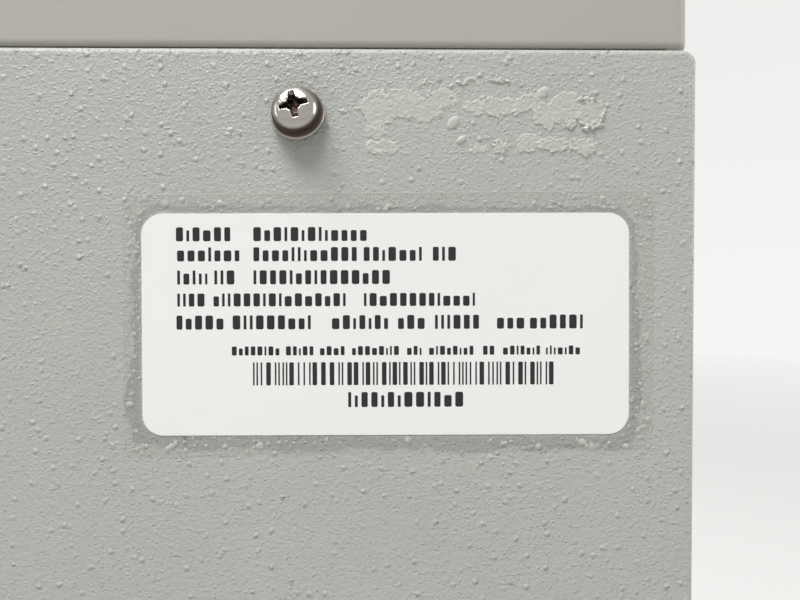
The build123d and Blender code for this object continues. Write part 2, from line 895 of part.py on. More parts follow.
# Mains inlet: flanged housing with the socket below and the switch well above
inlet_plane = Plane.XZ.offset(-(rear_face + inlet_flange))
socket_centre = (inlet_x, inlet_z - socket_drop)
switch_centre = (inlet_x, inlet_z + switch_rise)
with BuildPart() as power_inlet:
    with BuildSketch(inlet_plane):
        with Locations((inlet_x, inlet_z)):
            RectangleRounded(inlet_width, inlet_height, inlet_corner)
    extrude(amount=inlet_flange)
    with BuildSketch(Plane.XZ.offset(-rear_face)):
        with Locations((inlet_x, inlet_z)):
            Rectangle(inlet_width - 2 * inlet_lip, inlet_height - 2 * inlet_lip)
    extrude(amount=inlet_depth)
    with BuildSketch(inlet_plane) as mouth:
        with Locations(socket_centre):
            Rectangle(socket_width, socket_height)
        chamfer(mouth.vertices().group_by(Axis.Y)[-1], socket_bevel)
    extrude(amount=socket_depth, mode=Mode.SUBTRACT)
    with BuildSketch(inlet_plane.offset(socket_depth)):
        with Locations(socket_centre):
            with Locations((-pin_pitch, -pin_rise), (pin_pitch, -pin_rise), (0, pin_rise)):
                Rectangle(pin_height, pin_width)
    extrude(amount=-pin_length)
    with BuildSketch(inlet_plane):
        with Locations(switch_centre):
            Rectangle(switch_width + 2 * rocker_gap, switch_height + 2 * rocker_gap)
    extrude(amount=switch_depth, mode=Mode.SUBTRACT)
    with BuildSketch(Plane.YZ.offset(inlet_x - switch_width / 2 - rocker_gap - pivot_length)):
        with Locations((rear_face, inlet_z + switch_rise)):
            Circle(pivot_radius + pivot_gap)
    extrude(amount=switch_width + 2 * (rocker_gap + pivot_length), mode=Mode.SUBTRACT)
power_inlet.part.label = "power_inlet"
export_step(power_inlet.part, "parts/power_inlet.step")

rocker_face = rear_face + inlet_flange
rocker_back = rocker_face - rocker_thickness
rocker_z = inlet_z + switch_rise
with BuildPart() as power_rocker:
    with BuildSketch(Plane.YZ.offset(inlet_x - switch_width / 2)):
        with BuildLine():
            Polyline(
                (rocker_face - rocker_dip, rocker_z - switch_height / 2),
                (rocker_face, rocker_z),
                (rocker_face + rocker_lift, rocker_z + switch_height / 2 - rocker_dip),
                (rocker_back + rocker_relief, rocker_z + switch_height / 2 - rocker_lift),
                (rocker_back, rocker_z),
                (rocker_back + rocker_relief, rocker_z - switch_height / 2 + rocker_dip),
                close=True,
            )
        make_face()
    extrude(amount=switch_width)
    with BuildSketch(Plane.YZ.offset(inlet_x - switch_width / 2 - pivot_length)):
        with Locations((rear_face, inlet_z + switch_rise)):
            Circle(pivot_radius)
    extrude(amount=switch_width + 2 * pivot_length)
power_rocker.part.label = "power_rocker"
export_step(power_rocker.part, "parts/power_rocker.step")


# Control board on standoffs behind the rear panel, with the network port on it
board_face = rear_face - sheet - standoff_length
with BuildPart() as board_standoffs:
    with BuildSketch(Plane.XZ.offset(-(rear_face - sheet))):
        with Locations((board_x, board_z)):
            with GridLocations(board_width - 2 * standoff_inset, board_height - 2 * standoff_inset, 2, 2):
                RegularPolygon(standoff_radius, 6)
    extrude(amount=standoff_length)
board_standoffs.part.label = "board_standoffs"
export_step(board_standoffs.part, "parts/board_standoffs.step")

with BuildPart() as control_board:
    with BuildSketch(Plane.XZ.offset(-board_face)):
        with Locations((board_x, board_z)):
            Rectangle(board_width, board_height)
    extrude(amount=board_thickness)
    with BuildSketch(Plane.XZ.offset(-(board_face - board_thickness))):
        with Locations((board_x, board_z)):
            with GridLocations(chip_pitch, chip_pitch, chip_columns, chip_columns):
                Rectangle(chip_size, chip_size)
    extrude(amount=chip_height)
control_board.part.label = "control_board"
export_step(control_board.part, "parts/control_board.step")

with BuildPart() as network_port:
    with BuildSketch(Plane.XZ.offset(-rear_face)):
        with Locations((port_x, port_z)):
            Rectangle(port_width, port_height)
    extrude(amount=rear_face - board_face)
    with BuildSketch(Plane.XZ.offset(-rear_face)):
        with Locations((port_x, port_z)):
            Rectangle(port_mouth_width, port_mouth_height)
    extrude(amount=port_mouth_depth, mode=Mode.SUBTRACT)
network_port.part.label = "network_port"
export_step(network_port.part, "parts/network_port.step")


# Bulkhead fittings: hexagon outside, threaded body through the panel
with BuildPart() as bulkhead_fittings:
    with BuildSketch(Plane.XZ.offset(-rear_face)):
        with Locations((fitting_x, fitting_z)):
            with GridLocations(fitting_pitch, 0, fitting_count, 1):
                RegularPolygon(fitting_nut, 6)
    extrude(amount=-fitting_nut_height)
    with BuildSketch(Plane.XZ.offset(-rear_face)):
        with Locations((fitting_x, fitting_z)):
            with GridLocations(fitting_pitch, 0, fitting_count, 1):
                Circle(fitting_radius)
    extrude(amount=fitting_inside)
    with BuildSketch(Plane.XZ.offset(-(rear_face - sheet))):
        with Locations((fitting_x, fitting_z)):
            with GridLocations(fitting_pitch, 0, fitting_count, 1):
                RegularPolygon(fitting_nut, 6)
    extrude(amount=fitting_flange)
    with BuildSketch(Plane.XZ.offset(-(rear_face + fitting_nut_height))):
        with Locations((fitting_x, fitting_z)):
            with GridLocations(fitting_pitch, 0, fitting_count, 1):
                Circle(fitting_bore)
    extrude(amount=fitting_nut_height + fitting_inside, mode=Mode.SUBTRACT)
bulkhead_fittings.part.label = "bulkhead_fittings"
export_step(bulkhead_fittings.part, "parts/bulkhead_fittings.step")


# Bay liner: a U-shaped folded sheet, open to the front and the top
with BuildPart() as bay_liner:
    with BuildSketch(Plane.XY.offset(pan_floor)):
        with BuildLine():
            Polyline(
                (module_centre - liner_half - sheet, liner_front),
                (module_centre - liner_half - sheet, liner_back),
                (module_centre + liner_half + sheet, liner_back),
                (module_centre + liner_half + sheet, liner_front),
                (module_centre + liner_half, liner_front),
                (module_centre + liner_half, liner_back - sheet),
                (module_centre - liner_half, liner_back - sheet),
                (module_centre - liner_half, liner_front),
                close=True,
            )
        make_face()
    extrude(amount=middle_height - pan_floor)
    with BuildSketch(Plane.YZ.offset(module_centre - liner_half - sheet)):
        with Locations((rod_y, rod_low), (rod_y, rod_high)):
            Circle(rod_radius + running)
        with Locations((rod_y, screw_z)):
            Circle(long_screw_radius + running)
    extrude(amount=2 * (liner_half + sheet), mode=Mode.SUBTRACT)
    with BuildSketch(Plane.YZ.offset(module_centre + liner_half)):
        with Locations((rod_y, screw_z)):
            Circle(motor_pilot + running)
    extrude(amount=sheet, mode=Mode.SUBTRACT)
bay_liner.part.label = "bay_liner"
export_step(bay_liner.part, "parts/bay_liner.step")


# Drawer runners: a C-shaped outer rail on the liner and a C-shaped inner rail on the drawer
runner_top = runner_base + runner_height
with BuildPart() as runner_outer:
    for side in (-1, 1):
        wall = module_centre + side * liner_half
        with BuildSketch(Plane.XZ.offset(-liner_front)):
            with BuildLine():
                Polyline(
                    (wall, runner_base),
                    (wall, runner_top),
                    (wall - side * runner_lip, runner_top),
                    (wall - side * runner_lip, runner_top - runner_sheet),
                    (wall - side * runner_sheet, runner_top - runner_sheet),
                    (wall - side * runner_sheet, runner_base + runner_sheet),
                    (wall - side * runner_lip, runner_base + runner_sheet),
                    (wall - side * runner_lip, runner_base),
                    close=True,
                )
            make_face()
        extrude(amount=-runner_length)
runner_outer.part.label = "runner_outer"
export_step(runner_outer.part, "parts/runner_outer.step")

inner_low = runner_base + runner_sheet + fit
inner_high = runner_top - runner_sheet - fit
with BuildPart() as runner_inner:
    for side in (-1, 1):
        wall = module_centre + side * pan_size / 2
        with BuildSketch(Plane.XZ.offset(-(pan_start + sheet))):
            with BuildLine():
                Polyline(
                    (wall, inner_low),
                    (wall, inner_high),
                    (wall + side * runner_inner_lip, inner_high),
                    (wall + side * runner_inner_lip, inner_high - runner_inner_sheet),
                    (wall + side * runner_inner_sheet, inner_high - runner_inner_sheet),
                    (wall + side * runner_inner_sheet, inner_low + runner_inner_sheet),
                    (wall + side * runner_inner_lip, inner_low + runner_inner_sheet),
                    (wall + side * runner_inner_lip, inner_low),
                    close=True,
                )
            make_face()
        extrude(amount=-runner_length)
runner_inner.part.label = "runner_inner"
export_step(runner_inner.part, "parts/runner_inner.step")


# Drawer: folded pan, moulded front frame and clear window
pan_middle_y = (pan_start + pan_end) / 2
with BuildPart() as drawer_pan:
    with BuildSketch(Plane.XY.offset(drawer_floor)):
        with Locations((module_centre, pan_middle_y)):
            RectangleRounded(pan_size, pan_size, sheet_corner)
    extrude(amount=drawer_side)
    with BuildSketch(Plane.XY.offset(rack_base)):
        with Locations((module_centre, pan_middle_y)):
            RectangleRounded(pan_size - 2 * sheet, pan_size - 2 * sheet, inner_corner)
    extrude(amount=drawer_side, mode=Mode.SUBTRACT)
drawer_pan.part.label = "drawer_pan"
export_step(drawer_pan.part, "parts/drawer_pan.step")

front_width = module_width - 2 * (bay_margin + drawer_front_gap)
front_bottom = bay_bottom + drawer_front_gap
front_top = bay_top - drawer_front_gap
window_width = front_width - 2 * window_margin
window_bottom = front_bottom + window_sill
window_top = front_top - window_margin
window_centre = (module_centre, (window_bottom + window_top) / 2)
with BuildPart() as drawer_front:
    with BuildSketch(Plane.XZ.offset(-front_face)):
        with Locations((module_centre, (front_bottom + front_top) / 2)):
            RectangleRounded(front_width, front_top - front_bottom, sheet_corner)
    extrude(amount=-drawer_front_thickness)
    fillet(drawer_front.faces().sort_by(Axis.Y)[0].outer_wire().edges(), bend_radius)
    with BuildSketch(Plane.XZ.offset(-front_face)):
        with Locations(window_centre):
            RectangleRounded(window_width, window_top - window_bottom, window_corner)
    extrude(amount=-drawer_front_thickness, mode=Mode.SUBTRACT)
    with BuildSketch(Plane.XZ.offset(-pan_start)):
        with Locations(window_centre):
            RectangleRounded(
                window_width + 2 * window_rebate,
                window_top - window_bottom + 2 * window_rebate,
                window_corner,
            )
    extrude(amount=window_thickness, mode=Mode.SUBTRACT)
    with BuildSketch(Plane.XZ.offset(-front_face)):
        with Locations((module_centre, front_bottom + grip_rise)):
            SlotOverall(grip_width, grip_height)
    extrude(amount=-grip_depth, taper=grip_draft, mode=Mode.SUBTRACT)
drawer_front.part.label = "drawer_front"
export_step(drawer_front.part, "parts/drawer_front.step")

with BuildPart() as drawer_window:
    with BuildSketch(Plane.XZ.offset(-pan_start)):
        with Locations(window_centre):
            RectangleRounded(
                window_width + 2 * (window_rebate - fit),
                window_top - window_bottom + 2 * (window_rebate - fit),
                window_corner,
            )
    extrude(amount=window_thickness)
drawer_window.part.label = "drawer_window"
export_step(drawer_window.part, "parts/drawer_window.step")


# Bottle racks: three moulded racks with a row of square pockets each
for place, name in enumerate(("rack_left", "rack_middle", "rack_right")):
    rack_x = module_centre + (place - (rack_count - 1) / 2) * bottle_pitch
    with BuildPart() as rack:
        with BuildSketch(Plane.XY.offset(rack_base)):
            with Locations((rack_x, rack_middle_y)):
                RectangleRounded(bottle_pitch - rack_gap, rack_length, rack_corner)
        extrude(amount=rack_height)
        with BuildSketch(Plane.XY.offset(rack_base + rack_floor)):
            with Locations((rack_x, rack_middle_y)):
                with GridLocations(0, bottle_pitch, 1, pocket_count):
                    RectangleRounded(pocket_size, pocket_size, pocket_corner)
        extrude(amount=rack_height, mode=Mode.SUBTRACT)
    rack.part.label = name
    export_step(rack.part, f"parts/{name}.step")


# Fraction collector: guide rods and long lead screw across the bay
liner_left = module_centre - liner_half - sheet
liner_right = module_centre + liner_half + sheet
with BuildPart() as guide_rods:
    with BuildSketch(Plane.YZ.offset(liner_left)):
        with Locations((rod_y, rod_low), (rod_y, rod_high)):
            Circle(rod_radius)
    extrude(amount=liner_right - liner_left)
guide_rods.part.label = "guide_rods"
export_step(guide_rods.part, "parts/guide_rods.step")

with BuildPart() as long_screw:
    with BuildSketch(Plane.YZ.offset(liner_left)):
        with Locations((rod_y, screw_z)):
            Circle(long_screw_radius)
    extrude(amount=liner_right - liner_left + motor_bore_depth - fit)
long_screw.part.label = "long_screw"
export_step(long_screw.part, "parts/long_screw.step")

with BuildPart() as long_motor:
    with BuildSketch(Plane.YZ.offset(liner_right)) as square:
        with Locations((rod_y, screw_z)):
            Rectangle(motor_size, motor_size)
        chamfer(square.vertices(), motor_corner)
    extrude(amount=motor_length)
    with BuildSketch(Plane.YZ.offset(liner_right - sheet)):
        with Locations((rod_y, screw_z)):
            Circle(motor_pilot)
    extrude(amount=sheet)
    with BuildSketch(Plane.YZ.offset(liner_right - sheet)):
        with Locations((rod_y, screw_z)):
            Circle(long_screw_radius + running)
    extrude(amount=sheet + motor_bore_depth, mode=Mode.SUBTRACT)
long_motor.part.label = "long_motor"
export_step(long_motor.part, "parts/long_motor.step")


# Arm: a carriage on the rods, with a folded beam that carries the cross rod and screw
with BuildPart() as arm_carriage:
    with BuildSketch(Plane.YZ.offset(arm_x - carriage_width / 2)) as section:
        with Locations((rod_y, (carriage_bottom + carriage_top) / 2)):
            Rectangle(carriage_depth, carriage_top - carriage_bottom)
        fillet(section.vertices(), carriage_edge)
    extrude(amount=carriage_width)
    with BuildSketch(Plane.YZ.offset(arm_x - carriage_width / 2)):
        with Locations((rod_y, rod_low), (rod_y, rod_high)):
            Circle(rod_radius + running)
        with Locations((rod_y, screw_z)):
            Circle(long_screw_radius + running)
    extrude(amount=carriage_width, mode=Mode.SUBTRACT)
    with BuildSketch(Plane.XZ.offset(-carriage_back)):
        with Locations((arm_x - cross_offset, cross_z)):
            Circle(cross_rod_radius + running)
        with Locations((arm_x + cross_offset, cross_z)):
            Circle(cross_screw_radius + running)
    extrude(amount=carriage_depth, mode=Mode.SUBTRACT)
arm_carriage.part.label = "arm_carriage"
export_step(arm_carriage.part, "parts/arm_carriage.step")

with BuildPart() as arm_beam:
    with BuildSketch(Plane.XZ.offset(-carriage_front)):
        with Locations((arm_x, (arm_bottom + arm_top) / 2)):
            Rectangle(2 * arm_half, arm_top - arm_bottom)
    extrude(amount=carriage_front - arm_front)
    fillet(arm_beam.edges().filter_by(Axis.Y).group_by(Axis.Z)[-1], bend_radius)
    with BuildSketch(Plane.XZ.offset(-carriage_front)):
        with Locations((arm_x, (arm_bottom + arm_top) / 2 - arm_sheet)):
            Rectangle(2 * (arm_half - arm_sheet), arm_top - arm_bottom)
    extrude(amount=carriage_front - arm_front - arm_sheet, mode=Mode.SUBTRACT)
    with BuildSketch(Plane.XZ.offset(-arm_front)):
        with Locations((arm_x - cross_offset, cross_z)):
            Circle(cross_rod_radius + running)
        with Locations((arm_x + cross_offset, cross_z)):
            Circle(cross_screw_radius + running)
    extrude(amount=-arm_sheet, mode=Mode.SUBTRACT)
arm_beam.part.label = "arm_beam"
export_step(arm_beam.part, "parts/arm_beam.step")

with BuildPart() as cross_rod:
    with BuildSketch(Plane.XZ.offset(-carriage_back)):
        with Locations((arm_x - cross_offset, cross_z)):
            Circle(cross_rod_radius)
    extrude(amount=carriage_back - arm_front)
cross_rod.part.label = "cross_rod"
export_step(cross_rod.part, "parts/cross_rod.step")

with BuildPart() as cross_screw:
    with BuildSketch(Plane.XZ.offset(-(carriage_back + cross_motor_length / 2 - fit))):
        with Locations((arm_x + cross_offset, cross_z)):
            Circle(cross_screw_radius)
    extrude(amount=carriage_back + cross_motor_length / 2 - fit - arm_front)
cross_screw.part.label = "cross_screw"
export_step(cross_screw.part, "parts/cross_screw.step")

with BuildPart() as cross_motor:
    with BuildSketch(Plane.XZ.offset(-carriage_back)) as square:
        with Locations((arm_x + cross_offset, cross_z)):
            Rectangle(cross_motor_size, cross_motor_size)
        chamfer(square.vertices(), motor_corner)
    extrude(amount=-cross_motor_length)
    with BuildSketch(Plane.XZ.offset(-carriage_back)):
        with Locations((arm_x + cross_offset, cross_z)):
            Circle(cross_screw_radius + running)
    extrude(amount=-cross_motor_length / 2, mode=Mode.SUBTRACT)
cross_motor.part.label = "cross_motor"
export_step(cross_motor.part, "parts/cross_motor.step")

head_half = arm_half - arm_sheet - head_gap
with BuildPart() as drip_head:
    with BuildSketch(Plane.XZ.offset(-(head_y + head_length / 2))):
        with BuildLine():
            Polyline(
                (arm_x - arm_half, head_low),
                (arm_x + arm_half, head_low),
                (arm_x + arm_half, head_step),
                (arm_x + head_half, head_step),
                (arm_x + head_half, arm_top - arm_sheet - head_gap),
                (arm_x - head_half, arm_top - arm_sheet - head_gap),
                (arm_x - head_half, head_step),
                (arm_x - arm_half, head_step),
                close=True,
            )
        make_face()
    extrude(amount=head_length)
    with BuildSketch(Plane.XZ.offset(-(head_y + head_length / 2))):
        with Locations((arm_x - cross_offset, cross_z)):
            Circle(cross_rod_radius + running)
        with Locations((arm_x + cross_offset, cross_z)):
            Circle(cross_screw_radius + running)
    extrude(amount=head_length, mode=Mode.SUBTRACT)
    with BuildSketch(Plane.XY.offset(head_low)):
        with Locations((arm_x, head_y)):
            Circle(nozzle_radius + running)
    extrude(amount=head_step - head_low, mode=Mode.SUBTRACT)
drip_head.part.label = "drip_head"
export_step(drip_head.part, "parts/drip_head.step")

with BuildPart() as nozzle:
    with BuildSketch(Plane.XY.offset(nozzle_tip)):
        with Locations((arm_x, head_y)):
            Circle(nozzle_radius)
            Circle(nozzle_radius / 2, mode=Mode.SUBTRACT)
    extrude(amount=head_step - nozzle_tip)
nozzle.part.label = "nozzle"
export_step(nozzle.part, "parts/nozzle.step")


# Pumps: drive housing with closed gearing and motor, and a steel head in front
shelf = middle_height + sheet
for place, letter in zip(pump_x, "ab"):
    drive_middle = (place, shelf + pump_height / 2)
    with BuildPart() as drive:
        with BuildSketch(Plane.XZ.offset(-(pump_front + pump_length))) as section:
            with Locations(drive_middle):
                RectangleRounded(pump_width, pump_height, pump_corner)
        extrude(amount=pump_length)
        with BuildSketch(Plane.XZ.offset(-(pump_front + pump_length))):
            with Locations(drive_middle):
                Circle(pump_motor_radius)
        extrude(amount=-pump_motor_length)
        chamfer(drive.faces().sort_by(Axis.Y)[-1].outer_wire().edges(), bend_radius)
    drive.part.label = f"pump_drive_{letter}"
    export_step(drive.part, f"parts/pump_drive_{letter}.step")
    with BuildPart() as head:
        with BuildSketch(Plane.XZ.offset(-pump_front)):
            with Locations(drive_middle):
                RectangleRounded(pump_head_size, pump_head_size, sheet_corner)
        extrude(amount=pump_head_depth)
        with BuildSketch(Plane.XZ.offset(-(pump_front - pump_head_depth))):
            with Locations(drive_middle):
                with GridLocations(cap_screw_pitch, cap_screw_pitch, 2, 2):
                    Circle(cap_screw_radius)
        extrude(amount=cap_screw_height)
        with BuildSketch(Plane.XY.offset(shelf + pump_height / 2 - pump_head_size / 2 - check_valve_height)):
            with Locations((place, pump_front - pump_head_depth / 2)):
                Circle(check_valve_radius)
        extrude(amount=pump_head_size + 2 * check_valve_height)
    head.part.label = f"pump_head_{letter}"
    export_step(head.part, f"parts/pump_head_{letter}.step")


# Mixer: a turned steel chamber between two caps, standing on the shelf
with BuildPart() as mixer:
    with BuildSketch(Plane.XY.offset(shelf)):
        with Locations((mixer_x, mixer_y)):
            Circle(mixer_cap_radius)
    extrude(amount=mixer_cap_height)
    with BuildSketch(Plane.XY.offset(shelf)):
        with Locations((mixer_x, mixer_y)):
            Circle(mixer_radius)
    extrude(amount=mixer_height)
    with BuildSketch(Plane.XY.offset(shelf + mixer_height - mixer_cap_height)):
        with Locations((mixer_x, mixer_y)):
            Circle(mixer_cap_radius)
    extrude(amount=mixer_cap_height)
mixer.part.label = "mixer"
export_step(mixer.part, "parts/mixer.step")


# Detector: a finned casting with its flow cell at the front
detector_front = detector_y - detector_length / 2
with BuildPart() as detector_housing:
    with BuildSketch(Plane.XY.offset(shelf)):
        with Locations((detector_x, detector_y)):
            RectangleRounded(detector_width, detector_length, detector_corner)
    extrude(amount=detector_height)
    with BuildSketch(Plane.XY.offset(shelf + detector_height)):
        with Locations((detector_x, detector_y)):
            with GridLocations(0, fin_pitch, 1, fin_count):
                Rectangle(detector_width, fin_gap)
    extrude(amount=-fin_depth, mode=Mode.SUBTRACT)
detector_housing.part.label = "detector_housing"
export_step(detector_housing.part, "parts/detector_housing.step")

with BuildPart() as flow_cell:
    with BuildSketch(Plane.XZ.offset(-detector_front)):
        with Locations((detector_x, shelf + detector_height / 2)):
            RectangleRounded(cell_size, cell_size, sheet_corner)
            Circle(cell_bore, mode=Mode.SUBTRACT)
    extrude(amount=cell_depth)
flow_cell.part.label = "flow_cell"
export_step(flow_cell.part, "parts/flow_cell.step")


# Power supply: a vented steel box on the base pan
with BuildPart() as power_supply:
    with BuildSketch(Plane.XY.offset(pan_floor)):
        with Locations((supply_x, supply_y)):
            RectangleRounded(supply_width, supply_length, sheet_corner)
    extrude(amount=supply_height)
    with BuildSketch(Plane.XY.offset(pan_floor + supply_height)):
        with Locations((supply_x, supply_y)):
            with GridLocations(supply_pitch, 0, supply_slots, 1):
                SlotOverall(supply_slot_length, supply_slot, rotation=quarter_turn)
    extrude(amount=-supply_slot_depth, mode=Mode.SUBTRACT)
power_supply.part.label = "power_supply"
export_step(power_supply.part, "parts/power_supply.step")


# Injection valve: body through the alcove wall, fluted knob on its stem
valve_face = alcove_back - valve_flange_height
with BuildPart() as valve_base:
    with BuildSketch(Plane.XZ.offset(-alcove_back)):
        with Locations((valve_x, valve_z)):
            Circle(valve_flange)
    extrude(amount=valve_flange_height)
    fillet(valve_base.edges().group_by(Axis.Y)[0], bend_radius)
    with BuildSketch(Plane.XZ.offset(-alcove_back)):
        with Locations((valve_x, valve_z)):
            Circle(valve_body)
    extrude(amount=-valve_body_length)
    with BuildSketch(Plane.XZ.offset(-valve_face)):
        with Locations((valve_x, valve_z)):
            Circle(valve_stem)
    extrude(amount=valve_stem_length)
valve_base.part.label = "valve_base"
export_step(valve_base.part, "parts/valve_base.step")

knob_back = valve_face - knob_gap
with BuildPart() as valve_knob:
    with BuildSketch(Plane.XZ.offset(-knob_back)):
        with Locations((valve_x, valve_z)):
            Circle(knob_radius)
            with PolarLocations(knob_radius + knob_flute_radius / 2, knob_flutes):
                Circle(knob_flute_radius, mode=Mode.SUBTRACT)
    extrude(amount=knob_height)
    with BuildSketch(Plane.XZ.offset(-(knob_back - knob_height))):
        with Locations((valve_x, valve_z)):
            SlotOverall(2 * knob_radius - knob_flute_radius, knob_pointer)
    extrude(amount=knob_height, taper=knob_draft)
    with BuildSketch(Plane.XZ.offset(-knob_back)):
        with Locations((valve_x, valve_z)):
            Circle(valve_stem + running)
    extrude(amount=valve_stem_length, mode=Mode.SUBTRACT)
valve_knob.part.label = "valve_knob"
export_step(valve_knob.part, "parts/valve_knob.step")


# Column: steel tube with a nut and a fitting nose at each end
column_top = column_bottom + column_length
with BuildPart() as column:
    with BuildSketch(Plane.XY.offset(column_bottom)):
        with Locations((valve_x, column_y)):
            Circle(column_radius)
    extrude(amount=column_length)
    for level in (column_bottom, column_top - end_nut_height):
        with BuildSketch(Plane.XY.offset(level)):
            with Locations((valve_x, column_y)):
                RegularPolygon(end_nut_radius, 6)
        extrude(amount=end_nut_height)
    with BuildSketch(Plane.XY.offset(column_bottom - end_nose_height)):
        with Locations((valve_x, column_y)):
            Circle(end_nose_radius)
            Circle(fitting_bore, mode=Mode.SUBTRACT)
    extrude(amount=end_nose_height)
    with BuildSketch(Plane.XY.offset(column_top)):
        with Locations((valve_x, column_y)):
            Circle(end_nose_radius)
            Circle(fitting_bore, mode=Mode.SUBTRACT)
    extrude(amount=end_nose_height)
column.part.label = "column"
export_step(column.part, "parts/column.step")


# Column rail: a grooved bar on the alcove's back wall
rail_front = alcove_back - rail_depth
with BuildPart() as column_rail:
    with BuildSketch(Plane.XY.offset(rail_bottom)):
        with Locations((valve_x, alcove_back - rail_depth / 2)):
            Rectangle(rail_width, rail_depth)
        for side in (-1, 1):
            with Locations((valve_x + side * rail_width / 2, alcove_back - rail_depth / 2)):
                Rectangle(2 * rail_groove_depth, rail_groove / 2, mode=Mode.SUBTRACT)
    extrude(amount=rail_top - rail_bottom)
column_rail.part.label = "column_rail"
export_step(column_rail.part, "parts/column_rail.step")


# Lower clamp: a bracket on the rail whose plate carries the column's lower nut
with BuildPart() as lower_clamp:
    with BuildSketch(Plane.XY.offset(column_bottom - lower_plate)):
        with Locations((valve_x, (rail_front + column_y) / 2)):
            Rectangle(clamp_width, rail_front - column_y)
        with Locations((valve_x, column_y)):
            Circle(clamp_width / 2)
            Circle(seat_radius, mode=Mode.SUBTRACT)
    extrude(amount=lower_plate)
lower_clamp.part.label = "lower_clamp"
export_step(lower_clamp.part, "parts/lower_clamp.step")


# Upper clamp: a ring round the column on a block that slides on the rail
ring_inner = column_radius + clamp_gap
ring_outer = ring_inner + clamp_wall
stud_y = rail_front - clamp_wall - clamp_height / 2
block_half = rail_width / 2 + clamp_wall
with BuildPart() as upper_clamp:
    with BuildSketch(Plane.XY.offset(upper_clamp_z)):
        with Locations((valve_x, (alcove_back - seam + column_y) / 2)):
            Rectangle(2 * block_half, alcove_back - seam - column_y)
        with Locations((valve_x, column_y)):
            Circle(ring_outer)
            Circle(ring_inner, mode=Mode.SUBTRACT)
        with Locations((valve_x, alcove_back - rail_depth / 2)):
            Rectangle(rail_width + 2 * clamp_gap, rail_depth + 2 * clamp_gap, mode=Mode.SUBTRACT)
    extrude(amount=clamp_height)
    with BuildSketch(Plane.YZ.offset(valve_x + block_half)):
        with Locations((stud_y, upper_clamp_z + clamp_height / 2)):
            Circle(clamp_stud_radius + clamp_stud_gap)
    extrude(amount=-block_half, mode=Mode.SUBTRACT)
upper_clamp.part.label = "upper_clamp"
export_step(upper_clamp.part, "parts/upper_clamp.step")

with BuildPart() as clamp_knob:
    with BuildSketch(Plane.YZ.offset(valve_x + block_half + clamp_gap)):
        with Locations((stud_y, upper_clamp_z + clamp_height / 2)):
            Circle(clamp_knob_radius)
            with PolarLocations(clamp_knob_radius, knob_flutes):
                Circle(clamp_stud_radius / 2, mode=Mode.SUBTRACT)
    extrude(amount=clamp_knob_height)
    with BuildSketch(Plane.YZ.offset(valve_x + clamp_wall)):
        with Locations((stud_y, upper_clamp_z + clamp_height / 2)):
            Circle(clamp_stud_radius)
    extrude(amount=block_half + clamp_gap - clamp_wall)
clamp_knob.part.label = "clamp_knob"
export_step(clamp_knob.part, "parts/clamp_knob.step")


# Drip tray: a moulded tray on the alcove's floor
drip_left = module_right + seam
drip_right = post_half
drip_front = liner_front
drip_back = alcove_back - fit
with BuildPart() as drip_tray:
    with BuildSketch(Plane.XY.offset(pan_floor)):
        with Locations(((drip_left + drip_right) / 2, (drip_front + drip_back) / 2)):
            RectangleRounded(drip_right - drip_left, drip_back - drip_front, drip_corner)
    extrude(amount=drip_height)
    fillet(drip_tray.faces().sort_by(Axis.Z)[-1].outer_wire().edges(), inner_corner)
    with BuildSketch(Plane.XY.offset(pan_floor + drip_wall)):
        with Locations(((drip_left + drip_right) / 2, (drip_front + drip_back) / 2)):
            RectangleRounded(
                drip_right - drip_left - 2 * drip_wall,
                drip_back - drip_front - 2 * drip_wall,
                drip_corner - drip_wall,
            )
    extrude(amount=drip_height, mode=Mode.SUBTRACT)
drip_tray.part.label = "drip_tray"
export_step(drip_tray.part, "parts/drip_tray.step")
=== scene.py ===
"""Look of a benchtop preparative liquid chromatography system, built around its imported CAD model.

The photograph shows the upper corner of the rear panel from close by: a pan head screw, a label under a
clear film, and patches of torn paint and adhesive. All sizes here are in metres unless a name says mm.
"""

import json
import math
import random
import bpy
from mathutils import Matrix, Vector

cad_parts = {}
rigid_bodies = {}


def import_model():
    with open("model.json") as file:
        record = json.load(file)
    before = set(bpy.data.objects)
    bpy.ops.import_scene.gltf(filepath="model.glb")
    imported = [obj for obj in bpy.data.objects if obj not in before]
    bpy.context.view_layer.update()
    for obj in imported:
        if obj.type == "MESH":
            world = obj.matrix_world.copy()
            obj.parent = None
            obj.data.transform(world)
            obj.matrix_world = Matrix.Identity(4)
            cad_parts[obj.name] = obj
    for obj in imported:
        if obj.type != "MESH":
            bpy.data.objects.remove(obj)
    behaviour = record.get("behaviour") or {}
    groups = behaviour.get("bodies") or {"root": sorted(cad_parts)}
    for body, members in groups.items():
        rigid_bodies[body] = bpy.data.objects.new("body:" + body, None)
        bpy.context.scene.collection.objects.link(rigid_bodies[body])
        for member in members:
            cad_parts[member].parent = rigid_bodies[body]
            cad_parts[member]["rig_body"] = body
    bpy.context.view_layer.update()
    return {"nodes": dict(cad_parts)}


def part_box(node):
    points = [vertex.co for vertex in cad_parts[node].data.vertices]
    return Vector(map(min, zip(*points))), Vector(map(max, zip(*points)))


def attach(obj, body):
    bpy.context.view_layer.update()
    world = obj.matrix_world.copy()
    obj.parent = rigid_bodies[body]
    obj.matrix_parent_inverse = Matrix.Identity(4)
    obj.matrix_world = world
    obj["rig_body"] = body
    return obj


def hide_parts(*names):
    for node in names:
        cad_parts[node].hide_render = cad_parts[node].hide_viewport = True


bl_info = {
    "name": "Chromatography System Look",
    "version": (1, 0, 0),
    "blender": (4, 5, 0),
    "location": "View3D > Sidebar > Chromatography",
    "description": "Finishes, rear label, case screws, threads and studio of a chromatography system",
    "category": "Object",
}

import bmesh
import bpy
import numpy as np
from bpy.props import FloatProperty, FloatVectorProperty, IntProperty, PointerProperty
from mathutils import Matrix, Vector, noise

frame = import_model()

